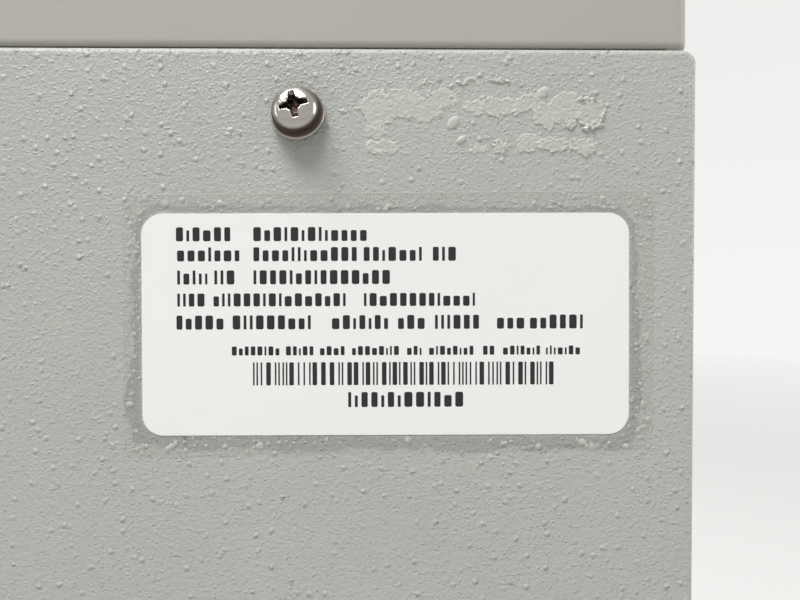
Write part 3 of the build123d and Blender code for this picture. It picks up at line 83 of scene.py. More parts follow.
MM = 0.001
PANEL_LOW, PANEL_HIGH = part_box("rear_panel")
REAR = PANEL_HIGH.y
EDGE = PANEL_LOW.x
TOP = PANEL_HIGH.z

# The photograph's camera: it looks at a point of the rear panel, a little turned against the panel's own
# axes, which run to the right, down and into the panel as the picture shows it
PHOTO_SIZE = (800, 600)
PHOTO_SCALE = 0.1565 * MM
CAMERA_DISTANCE = 110 * MM
CAMERA_PITCH, CAMERA_YAW, CAMERA_ROLL = 0.676, -0.276, 0.152
TARGET = Vector((EDGE + 46.38 * MM, REAR, TOP - 39.35 * MM))
PANEL_AXES = Matrix(((-1, 0, 0), (0, 0, -1), (0, -1, 0)))
CAMERA_AXES = PANEL_AXES @ (
    Matrix.Rotation(math.radians(CAMERA_ROLL), 3, "Z")
    @ Matrix.Rotation(math.radians(CAMERA_PITCH), 3, "X")
    @ Matrix.Rotation(math.radians(CAMERA_YAW), 3, "Y")
).transposed()
CAMERA_PLACE = TARGET - CAMERA_AXES @ Vector((0, 0, CAMERA_DISTANCE))


def on_panel(px, py, proud=0.0):
    """The point of the rear panel that a pixel of the photograph shows, raised by proud."""
    across = (px - PHOTO_SIZE[0] / 2) * PHOTO_SCALE
    down = (py - PHOTO_SIZE[1] / 2) * PHOTO_SCALE
    ray = CAMERA_AXES @ Vector((across, down, CAMERA_DISTANCE))
    reach = (REAR - CAMERA_PLACE.y) / ray.y
    return CAMERA_PLACE + ray * reach + Vector((0, proud, 0))


# Materials


def srgb(colour):
    """A #RRGGBB colour as the linear values that Blender's shaders take."""
    parts = [int(colour[start:start + 2], 16) / 255 for start in (1, 3, 5)]
    linear = [part / 12.92 if part <= 0.04045 else ((part + 0.055) / 1.055) ** 2.4 for part in parts]
    return (*linear, 1.0)


def add_node(tree, kind, inputs=None, **settings):
    """Adds a node: its settings first, then each socket's value or link."""
    node = tree.nodes.new(kind)
    for name, value in settings.items():
        setattr(node, name, value)
    for name, value in (inputs or {}).items():
        if isinstance(value, bpy.types.NodeSocket):
            tree.links.new(value, node.inputs[name])
        else:
            node.inputs[name].default_value = value
    return node


def new_material(name):
    """An empty material with its output, its shader and the object's own coordinates."""
    material = bpy.data.materials.new(name)
    material.use_nodes = True
    tree = material.node_tree
    tree.nodes.clear()
    output = add_node(tree, "ShaderNodeOutputMaterial")
    shader = add_node(tree, "ShaderNodeBsdfPrincipled")
    tree.links.new(shader.outputs["BSDF"], output.inputs["Surface"])
    place = add_node(tree, "ShaderNodeTexCoord").outputs["Object"]
    return material, tree, shader, place


def mottle(tree, place, size, light, dark, detail=3.0):
    """Slow change of colour between two close tones, over patches of the given size."""
    cloud = add_node(tree, "ShaderNodeTexNoise", {"Vector": place, "Scale": 1 / size, "Detail": detail})
    mix = add_node(
        tree,
        "ShaderNodeMix",
        {"Factor": cloud.outputs["Fac"], "A": srgb(dark), "B": srgb(light)},
        data_type="RGBA",
    )
    return mix.outputs["Result"]


def grain_bump(tree, place, size, depth, stretch=(1, 1, 1), normal=None, detail=2.0):
    """Bump from fine noise: grains of the given size and depth, stretched along a brushing direction."""
    mapped = add_node(tree, "ShaderNodeMapping", {"Vector": place, "Scale": stretch})
    grain = add_node(
        tree,
        "ShaderNodeTexNoise",
        {"Vector": mapped.outputs["Vector"], "Scale": 1 / size, "Detail": detail},
    )
    inputs = {"Height": grain.outputs["Fac"], "Distance": depth, "Strength": 1.0}
    if normal is not None:
        inputs["Normal"] = normal
    return add_node(tree, "ShaderNodeBump", inputs).outputs["Normal"]


def blister_height(tree, place, spacing, radius, ragged):
    """Height from 0 to 1 of round blisters that lie about a spacing apart, their outline made ragged."""
    wobble = add_node(
        tree, "ShaderNodeTexNoise", {"Vector": place, "Scale": 1 / (2.2 * radius), "Detail": 2.0}
    )
    centred = add_node(
        tree,
        "ShaderNodeVectorMath",
        {0: wobble.outputs["Color"], 1: (0.5, 0.5, 0.5)},
        operation="SUBTRACT",
    )
    pushed = add_node(
        tree,
        "ShaderNodeVectorMath",
        {0: centred.outputs["Vector"], 1: (ragged,) * 3, 2: place},
        operation="MULTIPLY_ADD",
    )
    cells = add_node(
        tree,
        "ShaderNodeTexVoronoi",
        {"Vector": pushed.outputs["Vector"], "Scale": 1 / spacing},
        feature="F1",
    )
    rise = add_node(
        tree,
        "ShaderNodeMapRange",
        {
            "Value": cells.outputs["Distance"],
            "From Min": 0.0,
            "From Max": radius / spacing,
            "To Min": 1.0,
            "To Max": 0.0,
        },
        interpolation_type="SMOOTHSTEP",
    )
    return rise.outputs["Result"]


def powder_coat(name, light, dark, roughness):
    """Polyester powder coat on steel: orange peel with scattered blisters, which catch light from above."""
    material, tree, shader, place = new_material(name)
    shader.inputs["Roughness"].default_value = roughness
    shader.inputs["Specular IOR Level"].default_value = 0.5
    tree.links.new(mottle(tree, place, 14 * MM, light, dark), shader.inputs["Base Color"])
    wisps = grain_bump(tree, place, 0.36 * MM, 0.13 * MM, stretch=(0.8, 1, 1), detail=2.0)
    peel = grain_bump(tree, place, 0.8 * MM, 0.18 * MM, normal=wisps, detail=3.0)
    large = blister_height(tree, place, 2.3 * MM, 0.62 * MM, 0.45 * MM)
    small = blister_height(tree, place, 0.85 * MM, 0.3 * MM, 0.22 * MM)
    # Some areas came out of the oven smoother than others
    areas = add_node(tree, "ShaderNodeTexNoise", {"Vector": place, "Scale": 1 / (16 * MM), "Detail": 2.0})
    reach = add_node(
        tree,
        "ShaderNodeMapRange",
        {"Value": areas.outputs["Fac"], "From Min": 0.36, "From Max": 0.6, "To Min": 0.75, "To Max": 1.0},
    )
    low = add_node(
        tree,
        "ShaderNodeBump",
        {"Height": small, "Distance": 0.12 * MM, "Strength": reach.outputs["Result"], "Normal": peel},
    )
    high = add_node(
        tree,
        "ShaderNodeBump",
        {
            "Height": large,
            "Distance": 0.24 * MM,
            "Strength": reach.outputs["Result"],
            "Normal": low.outputs["Normal"],
        },
    )
    tree.links.new(high.outputs["Normal"], shader.inputs["Normal"])
    return material


def moulded(name, light, dark, grain, depth, roughness):
    """A moulded plastic: even colour, with the fine grain of the tool's spark-eroded surface."""
    material, tree, shader, place = new_material(name)
    shader.inputs["Roughness"].default_value = roughness
    tree.links.new(mottle(tree, place, 30 * MM, light, dark), shader.inputs["Base Color"])
    tree.links.new(grain_bump(tree, place, grain, depth), shader.inputs["Normal"])
    return material


def metal(name, light, dark, roughness, grain, depth, stretch=(1, 1, 1)):
    """A bare or anodised metal: two close tones, with tool or brush marks stretched along one direction."""
    material, tree, shader, place = new_material(name)
    shader.inputs["Metallic"].default_value = 1.0
    shader.inputs["Roughness"].default_value = roughness
    tree.links.new(mottle(tree, place, 9 * MM, light, dark), shader.inputs["Base Color"])
    tree.links.new(grain_bump(tree, place, grain, depth, stretch), shader.inputs["Normal"])
    return material


def spangled(name, light, dark):
    """Hot-dip galvanised steel: flat crystals a few millimetres across, each of its own tone."""
    material, tree, shader, place = new_material(name)
    shader.inputs["Metallic"].default_value = 1.0
    crystals = add_node(
        tree, "ShaderNodeTexVoronoi", {"Vector": place, "Scale": 1 / (5 * MM)}, feature="F1"
    )
    grey = add_node(tree, "ShaderNodeSeparateColor", {"Color": crystals.outputs["Color"]})
    mix = add_node(
        tree,
        "ShaderNodeMix",
        {"Factor": grey.outputs["Red"], "A": srgb(dark), "B": srgb(light)},
        data_type="RGBA",
    )
    rough = add_node(
        tree, "ShaderNodeMapRange", {"Value": grey.outputs["Green"], "To Min": 0.32, "To Max": 0.5}
    )
    tree.links.new(mix.outputs["Result"], shader.inputs["Base Color"])
    tree.links.new(rough.outputs["Result"], shader.inputs["Roughness"])
    tree.links.new(grain_bump(tree, place, 0.8 * MM, 0.004 * MM), shader.inputs["Normal"])
    return material


def clear(name, tint, opacity, roughness):
    """A clear or smoked sheet: mostly see-through, with a gloss and very faint smears."""
    material, tree, shader, place = new_material(name)
    shader.inputs["Base Color"].default_value = srgb(tint)
    shader.inputs["Alpha"].default_value = opacity
    smear = add_node(tree, "ShaderNodeTexNoise", {"Vector": place, "Scale": 1 / (40 * MM), "Detail": 4.0})
    rough = add_node(
        tree,
        "ShaderNodeMapRange",
        {"Value": smear.outputs["Fac"], "To Min": roughness * 0.5, "To Max": roughness * 1.5},
    )
    tree.links.new(rough.outputs["Result"], shader.inputs["Roughness"])
    return material


def circuit_board(name):
    """Glass-fibre laminate under green solder resist, with faint copper tracks showing through it."""
    material, tree, shader, place = new_material(name)
    shader.inputs["Roughness"].default_value = 0.35
    tracks = add_node(
        tree,
        "ShaderNodeTexBrick",
        {
            "Vector": place,
            "Scale": 1 / (6 * MM),
            "Color1": srgb("#1E5A36"),
            "Color2": srgb("#205E39"),
            "Mortar": srgb("#2F7A4C"),
            "Mortar Size": 0.03,
        },
    )
    tree.links.new(tracks.outputs["Color"], shader.inputs["Base Color"])
    tree.links.new(grain_bump(tree, place, 0.5 * MM, 0.01 * MM), shader.inputs["Normal"])
    return material


def give(material, *names):
    """Puts one material on all the slots of the named CAD nodes."""
    for name in names:
        mesh = frame["nodes"][name].data
        if not mesh.materials:
            mesh.materials.append(material)
        for place in range(len(mesh.materials)):
            mesh.materials[place] = material


# Meshes


def finish_piece(name, bm, material, body, smooth=True):
    """Turns a bmesh into a piece that rides on a body and takes its finish from a material slot."""
    mesh = bpy.data.meshes.new(name)
    for face in bm.faces:
        face.smooth = smooth
    bm.to_mesh(mesh)
    bm.free()
    mesh.materials.append(material)
    piece = bpy.data.objects.new(name, mesh)
    bpy.context.scene.collection.objects.link(piece)
    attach(piece, body)
    return piece


def upright_grid(bm, centre, size, cells):
    """A flat grid that faces the rear, whose first axis runs to the left of someone behind the case."""
    turn = Matrix(((1, 0, 0, 0), (0, 0, 1, 0), (0, -1, 0, 0), (0, 0, 0, 1)))
    scale = Matrix.Diagonal((size[0] / 2, size[1] / 2, 1, 1))
    made = bmesh.ops.create_grid(bm, x_segments=cells[0], y_segments=cells[1], size=1, matrix=scale)
    bmesh.ops.transform(bm, matrix=Matrix.Translation(centre) @ turn, verts=made["verts"])
    return made["verts"]


def rounded_plate(bm, centre, width, height, radius, thickness, edge, steps):
    """A thin plate on the rear panel with round corners and a softened front edge."""
    verts = upright_grid(bm, centre, (width, height), (1, 1))
    made = bmesh.ops.bevel(
        bm, geom=verts, offset=radius, segments=steps, profile=0.5, affect="VERTICES", material=-1
    )
    plate = made["verts"][0].link_faces[0]
    grown = bmesh.ops.extrude_face_region(bm, geom=[plate], use_keep_orig=True)
    lifted = [item for item in grown["geom"] if isinstance(item, bmesh.types.BMVert)]
    bmesh.ops.translate(bm, vec=(0, thickness, 0), verts=lifted)
    rim = [item for item in grown["geom"] if isinstance(item, bmesh.types.BMEdge)]
    faces = list({face for vert in lifted + made["verts"] for face in vert.link_faces})
    bmesh.ops.recalc_face_normals(bm, faces=faces)
    if edge:
        bmesh.ops.bevel(bm, geom=rim, offset=edge, segments=2, profile=0.5, affect="EDGES", material=-1)


def smooth_step(low, high, value):
    """0 below low, 1 above high, and an even curve between."""
    share = min(1.0, max(0.0, (value - low) / (high - low)))
    return share * share * (3 - 2 * share)


# Settings


class LabelSettings(bpy.types.PropertyGroup):
    """Sizes of the printed label and of the clear film over it."""

    label_size: FloatVectorProperty(
        name="Label size", description="Width and height of the label", default=(0.0762, 0.0347), size=2
    )
    label_turn: FloatProperty(
        name="Label turn", description="How far the label is stuck on askew", default=math.radians(0.315),
        subtype="ANGLE",
    )
    label_corner: FloatProperty(
        name="Label corner", description="Corner radius of the label", default=0.0033, unit="LENGTH"
    )
    label_thickness: FloatProperty(
        name="Label thickness", description="Thickness of the label", default=0.00012, unit="LENGTH"
    )
    film_lift: FloatProperty(
        name="Film lift", description="Gap that the film keeps over what it covers", default=0.00005,
        unit="LENGTH",
    )
    bubble_count: IntProperty(
        name="Bubbles", description="Air bubbles trapped under the film's border", default=420, min=0
    )
    ink: FloatVectorProperty(
        name="Ink", description="Colour of the print", default=srgb("#141219"), size=4, subtype="COLOR"
    )


class ScrewSettings(bpy.types.PropertyGroup):
    """Sizes of the case screws' heads."""

    flange_radius: FloatProperty(
        name="Flange radius", description="Radius of the thin rim", default=0.0042, unit="LENGTH"
    )
    head_radius: FloatProperty(
        name="Head radius", description="Radius of the domed head", default=0.00388, unit="LENGTH"
    )
    head_height: FloatProperty(
        name="Head height", description="Height of the dome over the panel", default=0.0036, unit="LENGTH"
    )
    rim_height: FloatProperty(
        name="Rim height", description="Height of the thin rim", default=0.00032, unit="LENGTH"
    )
    recess_reach: FloatProperty(
        name="Recess reach", description="Half the width of the cross recess", default=0.0022, unit="LENGTH"
    )
    recess_depth: FloatProperty(
        name="Recess depth", description="Depth of the cross recess", default=0.00165, unit="LENGTH"
    )
    lean: FloatProperty(
        name="Lean", description="Tilt of the screw beside the label", default=math.radians(14),
        subtype="ANGLE",
    )


class ThreadSettings(bpy.types.PropertyGroup):
    """Sizes of the lead screws' threads."""

    long_depth: FloatProperty(
        name="Long thread depth", description="Depth of the long screw's thread", default=0.0008,
        unit="LENGTH",
    )
    cross_depth: FloatProperty(
        name="Cross thread depth", description="Depth of the cross screw's thread", default=0.0006,
        unit="LENGTH",
    )
    lead: FloatProperty(name="Lead", description="Travel of one turn", default=0.008, unit="LENGTH")
    starts: IntProperty(name="Starts", description="Threads that run side by side", default=4, min=1)


class StageSettings(bpy.types.PropertyGroup):
    """The strength of the studio light."""

    key_power: FloatProperty(
        name="Key power", description="Light from above the rear", default=17.0, unit="POWER"
    )
    fill_power: FloatProperty(
        name="Fill power", description="Light from above the front and sides", default=14.0, unit="POWER"
    )
    world_strength: FloatProperty(
        name="Ambient strength", description="Even light from all round", default=0.34
    )


# Finishes of the CAD nodes


class HousingFinish(bpy.types.Operator):
    """Finish the sheet-metal housing, the mouldings and the feet"""

    bl_idname = "chromatography.housing_finish"
    bl_label = "Housing finish"

    def execute(self, context):
        # Warm light grey textured polyester powder: semi-gloss, so that its blisters catch the light
        give(
            powder_coat("powder_coat_warm_grey", "#B5B5AF", "#ADAEA8", 0.4),
            "rear_panel", "left_cover", "right_cover",
        )
        # Smoother, slightly darker painted moulding above the seam
        give(
            moulded("painted_foam_moulding", "#ADABA4", "#A4A29B", 0.9 * MM, 0.012 * MM, 0.55),
            "top_tray",
        )
        # Light grey ABS with a fine spark-eroded grain
        give(moulded("abs_light_grey", "#BDBEBB", "#B7B8B5", 0.35 * MM, 0.02 * MM, 0.5), "front_moulding")
        give(moulded("abs_slate_grey", "#5D6368", "#565C61", 0.35 * MM, 0.02 * MM, 0.48), "drawer_front")
        # White smooth powder on the folded liners of the alcove and the collector's bay
        give(
            moulded("powder_coat_alcove", "#D2D3D0", "#CBCCC9", 0.7 * MM, 0.02 * MM, 0.42),
            "alcove_liner", "bay_liner",
        )
        # Galvanised steel, with its flat crystals
        give(
            spangled("galvanised_steel", "#B4B7B9", "#979B9E"),
            "base_pan", "top_deck", "middle_deck", "rear_posts", "power_supply",
        )
        # Vulcanised rubber: black, dull and slightly dusty
        give(moulded("black_rubber", "#26262A", "#1F1F22", 0.5 * MM, 0.03 * MM, 0.75), "feet")
        # Natural polypropylene: milky white, waxy
        give(moulded("polypropylene_white", "#DEDFDA", "#D6D7D2", 0.6 * MM, 0.008 * MM, 0.35), "drip_tray")
        return {"FINISHED"}


class DisplayFinish(bpy.types.Operator):
    """Finish the display and the drawer's window"""

    bl_idname = "chromatography.display_finish"
    bl_label = "Display and window finish"

    def execute(self, context):
        # Chemically strengthened cover glass over a dark, unlit panel
        material, tree, shader, place = new_material("display_glass_black")
        shader.inputs["Roughness"].default_value = 0.06
        shader.inputs["Coat Weight"].default_value = 0.6
        tone = mottle(tree, place, 60 * MM, "#14171B", "#101216")
        tree.links.new(tone, shader.inputs["Base Color"])
        tree.links.new(grain_bump(tree, place, 30 * MM, 0.02 * MM), shader.inputs["Normal"])
        give(material, "touch_glass")
        give(
            moulded("display_back_steel", "#8C9094", "#83878B", 0.5 * MM, 0.01 * MM, 0.4),
            "display_module",
        )
        # Smoked polycarbonate, so the racks show through it
        give(clear("smoked_polycarbonate", "#40464B", 0.34, 0.06), "drawer_window")
        return {"FINISHED"}


class CollectorFinish(bpy.types.Operator):
    """Finish the fraction collector's drawer, racks, rails and moving arm"""

    bl_idname = "chromatography.collector_finish"
    bl_label = "Fraction collector finish"

    def execute(self, context):
        # Zinc-plated sheet: cool grey with a faint rolling direction
        give(
            metal("zinc_plated_sheet", "#B3B6B9", "#A6AAAD", 0.34, 0.4 * MM, 0.006 * MM, (1, 0.08, 1)),
            "runner_outer", "runner_inner", "drawer_pan",
        )
        give(
            moulded("polypropylene_blue_grey", "#8FA3B0", "#879BA8", 0.5 * MM, 0.012 * MM, 0.4),
            "rack_left", "rack_middle", "rack_right",
        )
        # Ground and hardened shafts: bright, with marks round the axis
        for name, marks, rods in (
            ("ground_steel_x", (1, 0.1, 0.1), "guide_rods"),
            ("ground_steel_y", (0.1, 1, 0.1), "cross_rod"),
        ):
            give(metal(name, "#C9CBCC", "#BFC1C3", 0.16, 0.3 * MM, 0.002 * MM, marks), rods)
        # Clear anodised aluminium: pale, satin, milled
        give(
            metal("anodised_aluminium", "#C3C5C7", "#B8BABD", 0.38, 0.35 * MM, 0.005 * MM, (1, 0.2, 1)),
            "arm_carriage", "arm_beam", "column_rail", "flow_cell",
        )
        # Stepper motors: black enamelled laminations
        give(
            metal("motor_black_enamel", "#3A3B3E", "#303134", 0.4, 0.5 * MM, 0.02 * MM, (1, 0.3, 1)),
            "long_motor", "cross_motor",
        )
        # Acetal: white, slightly waxy
        give(moulded("acetal_white", "#E0E0DC", "#D8D8D4", 0.5 * MM, 0.004 * MM, 0.32), "drip_head")
        return {"FINISHED"}


class FluidFinish(bpy.types.Operator):
    """Finish the pumps, mixer, detector, valve, column and fittings"""

    bl_idname = "chromatography.fluid_finish"
    bl_label = "Fluid path finish"

    def execute(self, context):
        # Turned and passivated stainless steel, with its marks round the upright axis
        turned = (0.15, 0.15, 1)
        give(
            metal("stainless_steel_turned", "#C6C7C6", "#B9BBBA", 0.24, 0.3 * MM, 0.003 * MM, turned),
            "pump_head_a", "pump_head_b", "mixer", "column", "nozzle", "valve_base",
        )
        # Cast aluminium under dark grey paint
        give(
            moulded("painted_casting", "#4B5054", "#44494D", 0.8 * MM, 0.05 * MM, 0.5),
            "pump_drive_a", "pump_drive_b", "detector_housing",
        )
        # Black glass-filled nylon
        give(
            moulded("black_nylon", "#2C2C2F", "#252528", 0.3 * MM, 0.02 * MM, 0.45),
            "valve_knob", "lower_clamp", "upper_clamp", "clamp_knob",
        )
        # Natural PEEK: warm beige, machined
        give(moulded("peek_natural", "#B39B77", "#A68E6B", 0.4 * MM, 0.01 * MM, 0.4), "bulkhead_fittings")
        return {"FINISHED"}


class ElectricsFinish(bpy.types.Operator):
    """Finish the fan, mains inlet, board and port"""

    bl_idname = "chromatography.electrics_finish"
    bl_label = "Electrics finish"

    def execute(self, context):
        # Glass-filled polyester, black and slightly streaked
        give(
            moulded("black_polyester", "#232427", "#1C1D20", 0.45 * MM, 0.025 * MM, 0.42),
            "fan_frame", "fan_rotor", "power_inlet",
        )
        give(moulded("black_rocker", "#1B1B1E", "#161618", 0.25 * MM, 0.006 * MM, 0.25), "power_rocker")
        # Bright nickel over punched steel
        give(
            metal("nickel_plate", "#C4C1BA", "#B8B5AF", 0.22, 0.5 * MM, 0.003 * MM),
            "fan_guard", "network_port",
        )
        give(metal("brass_nickel", "#BDBAB2", "#AFACA5", 0.3, 0.4 * MM, 0.003 * MM), "board_standoffs")
        give(circuit_board("green_circuit_board"), "control_board")
        return {"FINISHED"}


# Case screws


def recess_wing(along, across, reach):
    """How deep a wing of the cross recess is at a point, from 0 outside it to 1 at its middle."""
    tip_width, taper = 0.42 * MM, 0.28 * MM
    width = tip_width + taper * max(0.0, 1 - abs(along) / reach)
    inside = min(reach - abs(along), (width - abs(across)) * 1.6)
    floor = 0.45 + 0.55 * smooth_step(reach, 0.3 * reach, abs(along))
    return smooth_step(-0.05 * MM, 0.16 * MM, inside) * floor


def screw_height(settings, top, x, y, worn_and_shaded):
    """Height of a screw's head over the panel at a point from its axis, and how far painted shade over
    partly dull zinc darkens it there.
    """
    radius = math.hypot(x, y)
    head = settings.head_radius
    # The second value is painted shade over partly dull zinc: it darkens the foot of the head on the rim,
    # the side of the dome and the recess, where shade and dark reflections fall
    if radius > head:
        rim = settings.rim_height * (1 - smooth_step(head, settings.flange_radius, radius) * 0.5)
        return rim, smooth_step(settings.flange_radius, head, radius)
    share = radius / head
    foot = 0.35 * MM
    height = foot + (top - foot) * (1 - share ** 3.4) ** 0.4
    well = 0.9 * smooth_step(1.25 * MM, 0.7 * MM, radius)
    reach = settings.recess_reach
    depth = max(recess_wing(x, y, reach), recess_wing(y, x, reach), well)
    if worn_and_shaded:
        # The driver has slipped in this screw: its recess has torn lips, and one quarter is scraped
        tear = noise.fractal(Vector((x, y, 0.0)) / (0.55 * MM), 0.9, 2.0, 3)
        lip = smooth_step(0.02, 0.35, depth) * smooth_step(0.75, 0.4, depth)
        quarter = smooth_step(-0.4 * MM, 1.0 * MM, x * 0.5 - y) * smooth_step(2.9 * MM, 1.6 * MM, radius)
        bite = 0.8 * quarter * tear * smooth_step(0.0, 0.15, depth + 0.04)
        depth = min(1.0, max(0.0, depth + bite))
        height += lip * (0.14 + 0.4 * quarter) * MM * tear + quarter * 0.14 * MM * tear
    # Painted shade in the recess and down the side of the dome
    dull_and_shade = max(smooth_step(0.16, 0.5, depth), smooth_step(0.86, 0.95, share))
    return height - depth * settings.recess_depth, dull_and_shade


def open_edges(edges, verts):
    """Those of some edges that lie between the given verts and have a face on one side only."""
    ends = set(verts)
    return [edge for edge in edges if len(edge.link_faces) == 1 and ends.issuperset(edge.verts)]


def add_screw(bm, layer, settings, top, place, facing, turn, rings, steps, worn_and_shaded=False):
    """Adds one screw head of height top with its cross recess; facing turns +Z to the way it points."""
    head, flange = settings.head_radius, settings.flange_radius
    radii = [head * (ring + 1) / rings for ring in range(rings)]
    radii += [head + share * (flange - head) for share in (0.08, 0.6, 1.0)]
    made = bmesh.ops.create_circle(bm, cap_ends=True, cap_tris=True, segments=steps, radius=radii[0])
    verts = list(made["verts"])
    rim = open_edges(bm.edges, verts)
    for inner, outer in zip(radii, radii[1:]):
        grown = bmesh.ops.extrude_edge_only(bm, edges=rim)
        ring = [item for item in grown["geom"] if isinstance(item, bmesh.types.BMVert)]
        rim = [item for item in grown["geom"] if isinstance(item, bmesh.types.BMEdge)]
        rim = open_edges(rim, ring)
        bmesh.ops.scale(bm, vec=(outer / inner, outer / inner, 1), verts=ring)
        verts += ring
    for vert in verts:
        vert.co.z, vert[layer] = screw_height(settings, top, vert.co.x, vert.co.y, worn_and_shaded)
    grown = bmesh.ops.extrude_edge_only(bm, edges=rim)
    skirt = [item for item in grown["geom"] if isinstance(item, bmesh.types.BMVert)]
    for vert in skirt:
        vert.co.z = -0.02 * MM
    verts += skirt
    move = Matrix.Translation(place) @ facing @ Matrix.Rotation(turn, 4, "Z")
    bmesh.ops.transform(bm, matrix=move, verts=verts)
    return verts


class CaseScrews(bpy.types.Operator):
    """Model the flanged pan head screws of the rear panel and the side covers"""

    bl_idname = "chromatography.case_screws"
    bl_label = "Case screws"

    def execute(self, context):
        settings = context.scene.screw_settings
        random.seed(7)
        rear = Matrix.Rotation(math.radians(-90), 4, "X")
        bm = bmesh.new()
        layer = bm.verts.layers.float.new("dull_and_shade")
        photographed = on_panel(298.5, 115.5)
        plain_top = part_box("case_screws")[1].x + EDGE
        columns = (photographed.x, 0.0, -photographed.x)
        rows = (29 * MM, photographed.z)
        for column in columns:
            for row in rows:
                if column == columns[0] and row == rows[1]:
                    continue
                place = Vector((column, REAR, row))
                add_screw(bm, layer, settings, plain_top, place, rear, random.uniform(0, 1.5), 22, 56)
        for side in (-1, 1):
            facing = Matrix.Rotation(side * math.radians(90), 4, "Y")
            for along in (-90 * MM, 170 * MM):
                for row in rows:
                    place = Vector((side * -EDGE, along, row))
                    add_screw(bm, layer, settings, plain_top, place, facing, random.uniform(0, 1.5), 22, 56)
        # The screw beside the label leans up and to the left, so its lower right side shows
        lean = Matrix.Rotation(settings.lean, 4, Vector((1, 0, -0.35)).normalized())
        lift = Vector((0, settings.flange_radius * math.sin(settings.lean) * 0.85, 0))
        top = settings.head_height
        add_screw(
            bm, layer, settings, top, photographed + lift, lean @ rear, math.radians(13), 46, 132, worn_and_shaded=True
        )
        bmesh.ops.recalc_face_normals(bm, faces=bm.faces[:])
        # Bright zinc on rolled steel: polished on the dome; down the side, at the foot and in the recess a
        # painted shade makes it dark brown and rougher, standing in for shade and dark reflections over
        # partly dull zinc
        steel = metal("bright_zinc_screw", "#BAB6AF", "#948F88", 0.2, 0.5 * MM, 0.012 * MM)
        tree = steel.node_tree
        shader = tree.nodes["Principled BSDF"]
        bright = shader.inputs["Base Color"].links[0].from_socket
        dull_and_shade = add_node(tree, "ShaderNodeAttribute", attribute_name="dull_and_shade").outputs["Fac"]
        worn_and_shaded = add_node(
            tree, "ShaderNodeMix", {"Factor": dull_and_shade, "A": bright, "B": srgb("#4A3E37")}, data_type="RGBA"
        )
        tree.links.new(worn_and_shaded.outputs["Result"], shader.inputs["Base Color"])
        rough = add_node(tree, "ShaderNodeMapRange", {"Value": dull_and_shade, "To Min": 0.18, "To Max": 0.42})
        tree.links.new(rough.outputs["Result"], shader.inputs["Roughness"])
        piece = finish_piece("pan_head_screws", bm, steel, "root")
        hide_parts("case_screws")
        return {"FINISHED"}


# Label, film and torn paint

# Rows of the label's print, as pixels of the photograph: top, bottom, then where each word starts and ends
PRINT_ROWS = (
    (227, 241, ((177, 232), (254, 367))),
    (247, 261, ((178, 240), (254, 357), (364, 425), (433, 460))),
    (270, 284, ((178, 208), (215, 240), (254, 390))),
    (293, 306, ((178, 207), (214, 350), (364, 475))),
    (315, 329, ((177, 228), (233, 313), (332, 388), (398, 427), (435, 479), (497, 525), (530, 586))),
    (
        346,
        355,
        (
            (232, 281), (286, 314), (320, 347), (352, 402), (407, 423),
            (429, 477), (483, 498), (503, 540), (546, 580),
        ),
    ),
    (392, 407, ((348, 463),)),
)
STRIPE_ROW = (362, 385, 253, 557)
LABEL_MIDDLE = (385.8, 324.2)
# The film's corners as pixels of the photograph: it was cut by hand, so its sides aren't square
FILM_CORNERS = ((122, 194.5), (655, 190.3), (653.5, 450.8), (123.5, 458.5))
# The largest bubbles under the film, as pixels of the photograph: middle, then radius
FILM_BUBBLES = (
    (145, 198, 3.0), (166, 203, 3.6), (182, 200, 3.0), (220, 203, 3.4), (348, 207, 2.4), (127, 217, 2.4),
    (131, 223, 2.0), (140, 220, 1.6), (130, 404, 3.2), (168, 449, 3.0), (172, 446, 3.0), (176, 443, 2.4),
    (260, 446, 4.0), (248, 452, 2.2), (225, 446, 2.4), (408, 439, 3.6), (505, 443, 2.2), (538, 446, 3.0),
    (582, 442, 4.0), (592, 449, 5.0), (626, 446, 3.4), (638, 430, 3.0), (642, 436, 1.8), (648, 419, 3.6),
    (643, 404, 3.6), (647, 335, 3.0), (647, 339, 3.0), (602, 199, 3.6), (645, 196, 3.0), (636, 222, 2.0),
    (193, 197, 1.6), (206, 205, 2.2), (214, 207, 2.0), (238, 200, 2.2), (262, 204, 2.4), (300, 201, 1.8),
)


def print_block(bm, left, right, top, bottom, proud):
    """One thin inked shape between pixels of the photograph, with slightly round corners."""
    middle = on_panel(*LABEL_MIDDLE, proud)
    across = (LABEL_MIDDLE[0] - (left + right) / 2) * PHOTO_SCALE
    down = ((top + bottom) / 2 - LABEL_MIDDLE[1]) * PHOTO_SCALE
    width = (right - left) * PHOTO_SCALE
    height = (bottom - top) * PHOTO_SCALE
    centre = middle + Vector((across, 0, -down))
    rounded_plate(bm, centre, width, height, min(width, height) * 0.22, 0.008 * MM, 0, 2)


def set_askew(bm, angle):
    """Turns everything in a bmesh about the label's middle."""
    middle = on_panel(*LABEL_MIDDLE)
    bmesh.ops.rotate(bm, cent=middle, matrix=Matrix.Rotation(angle, 3, "Y"), verts=bm.verts[:])


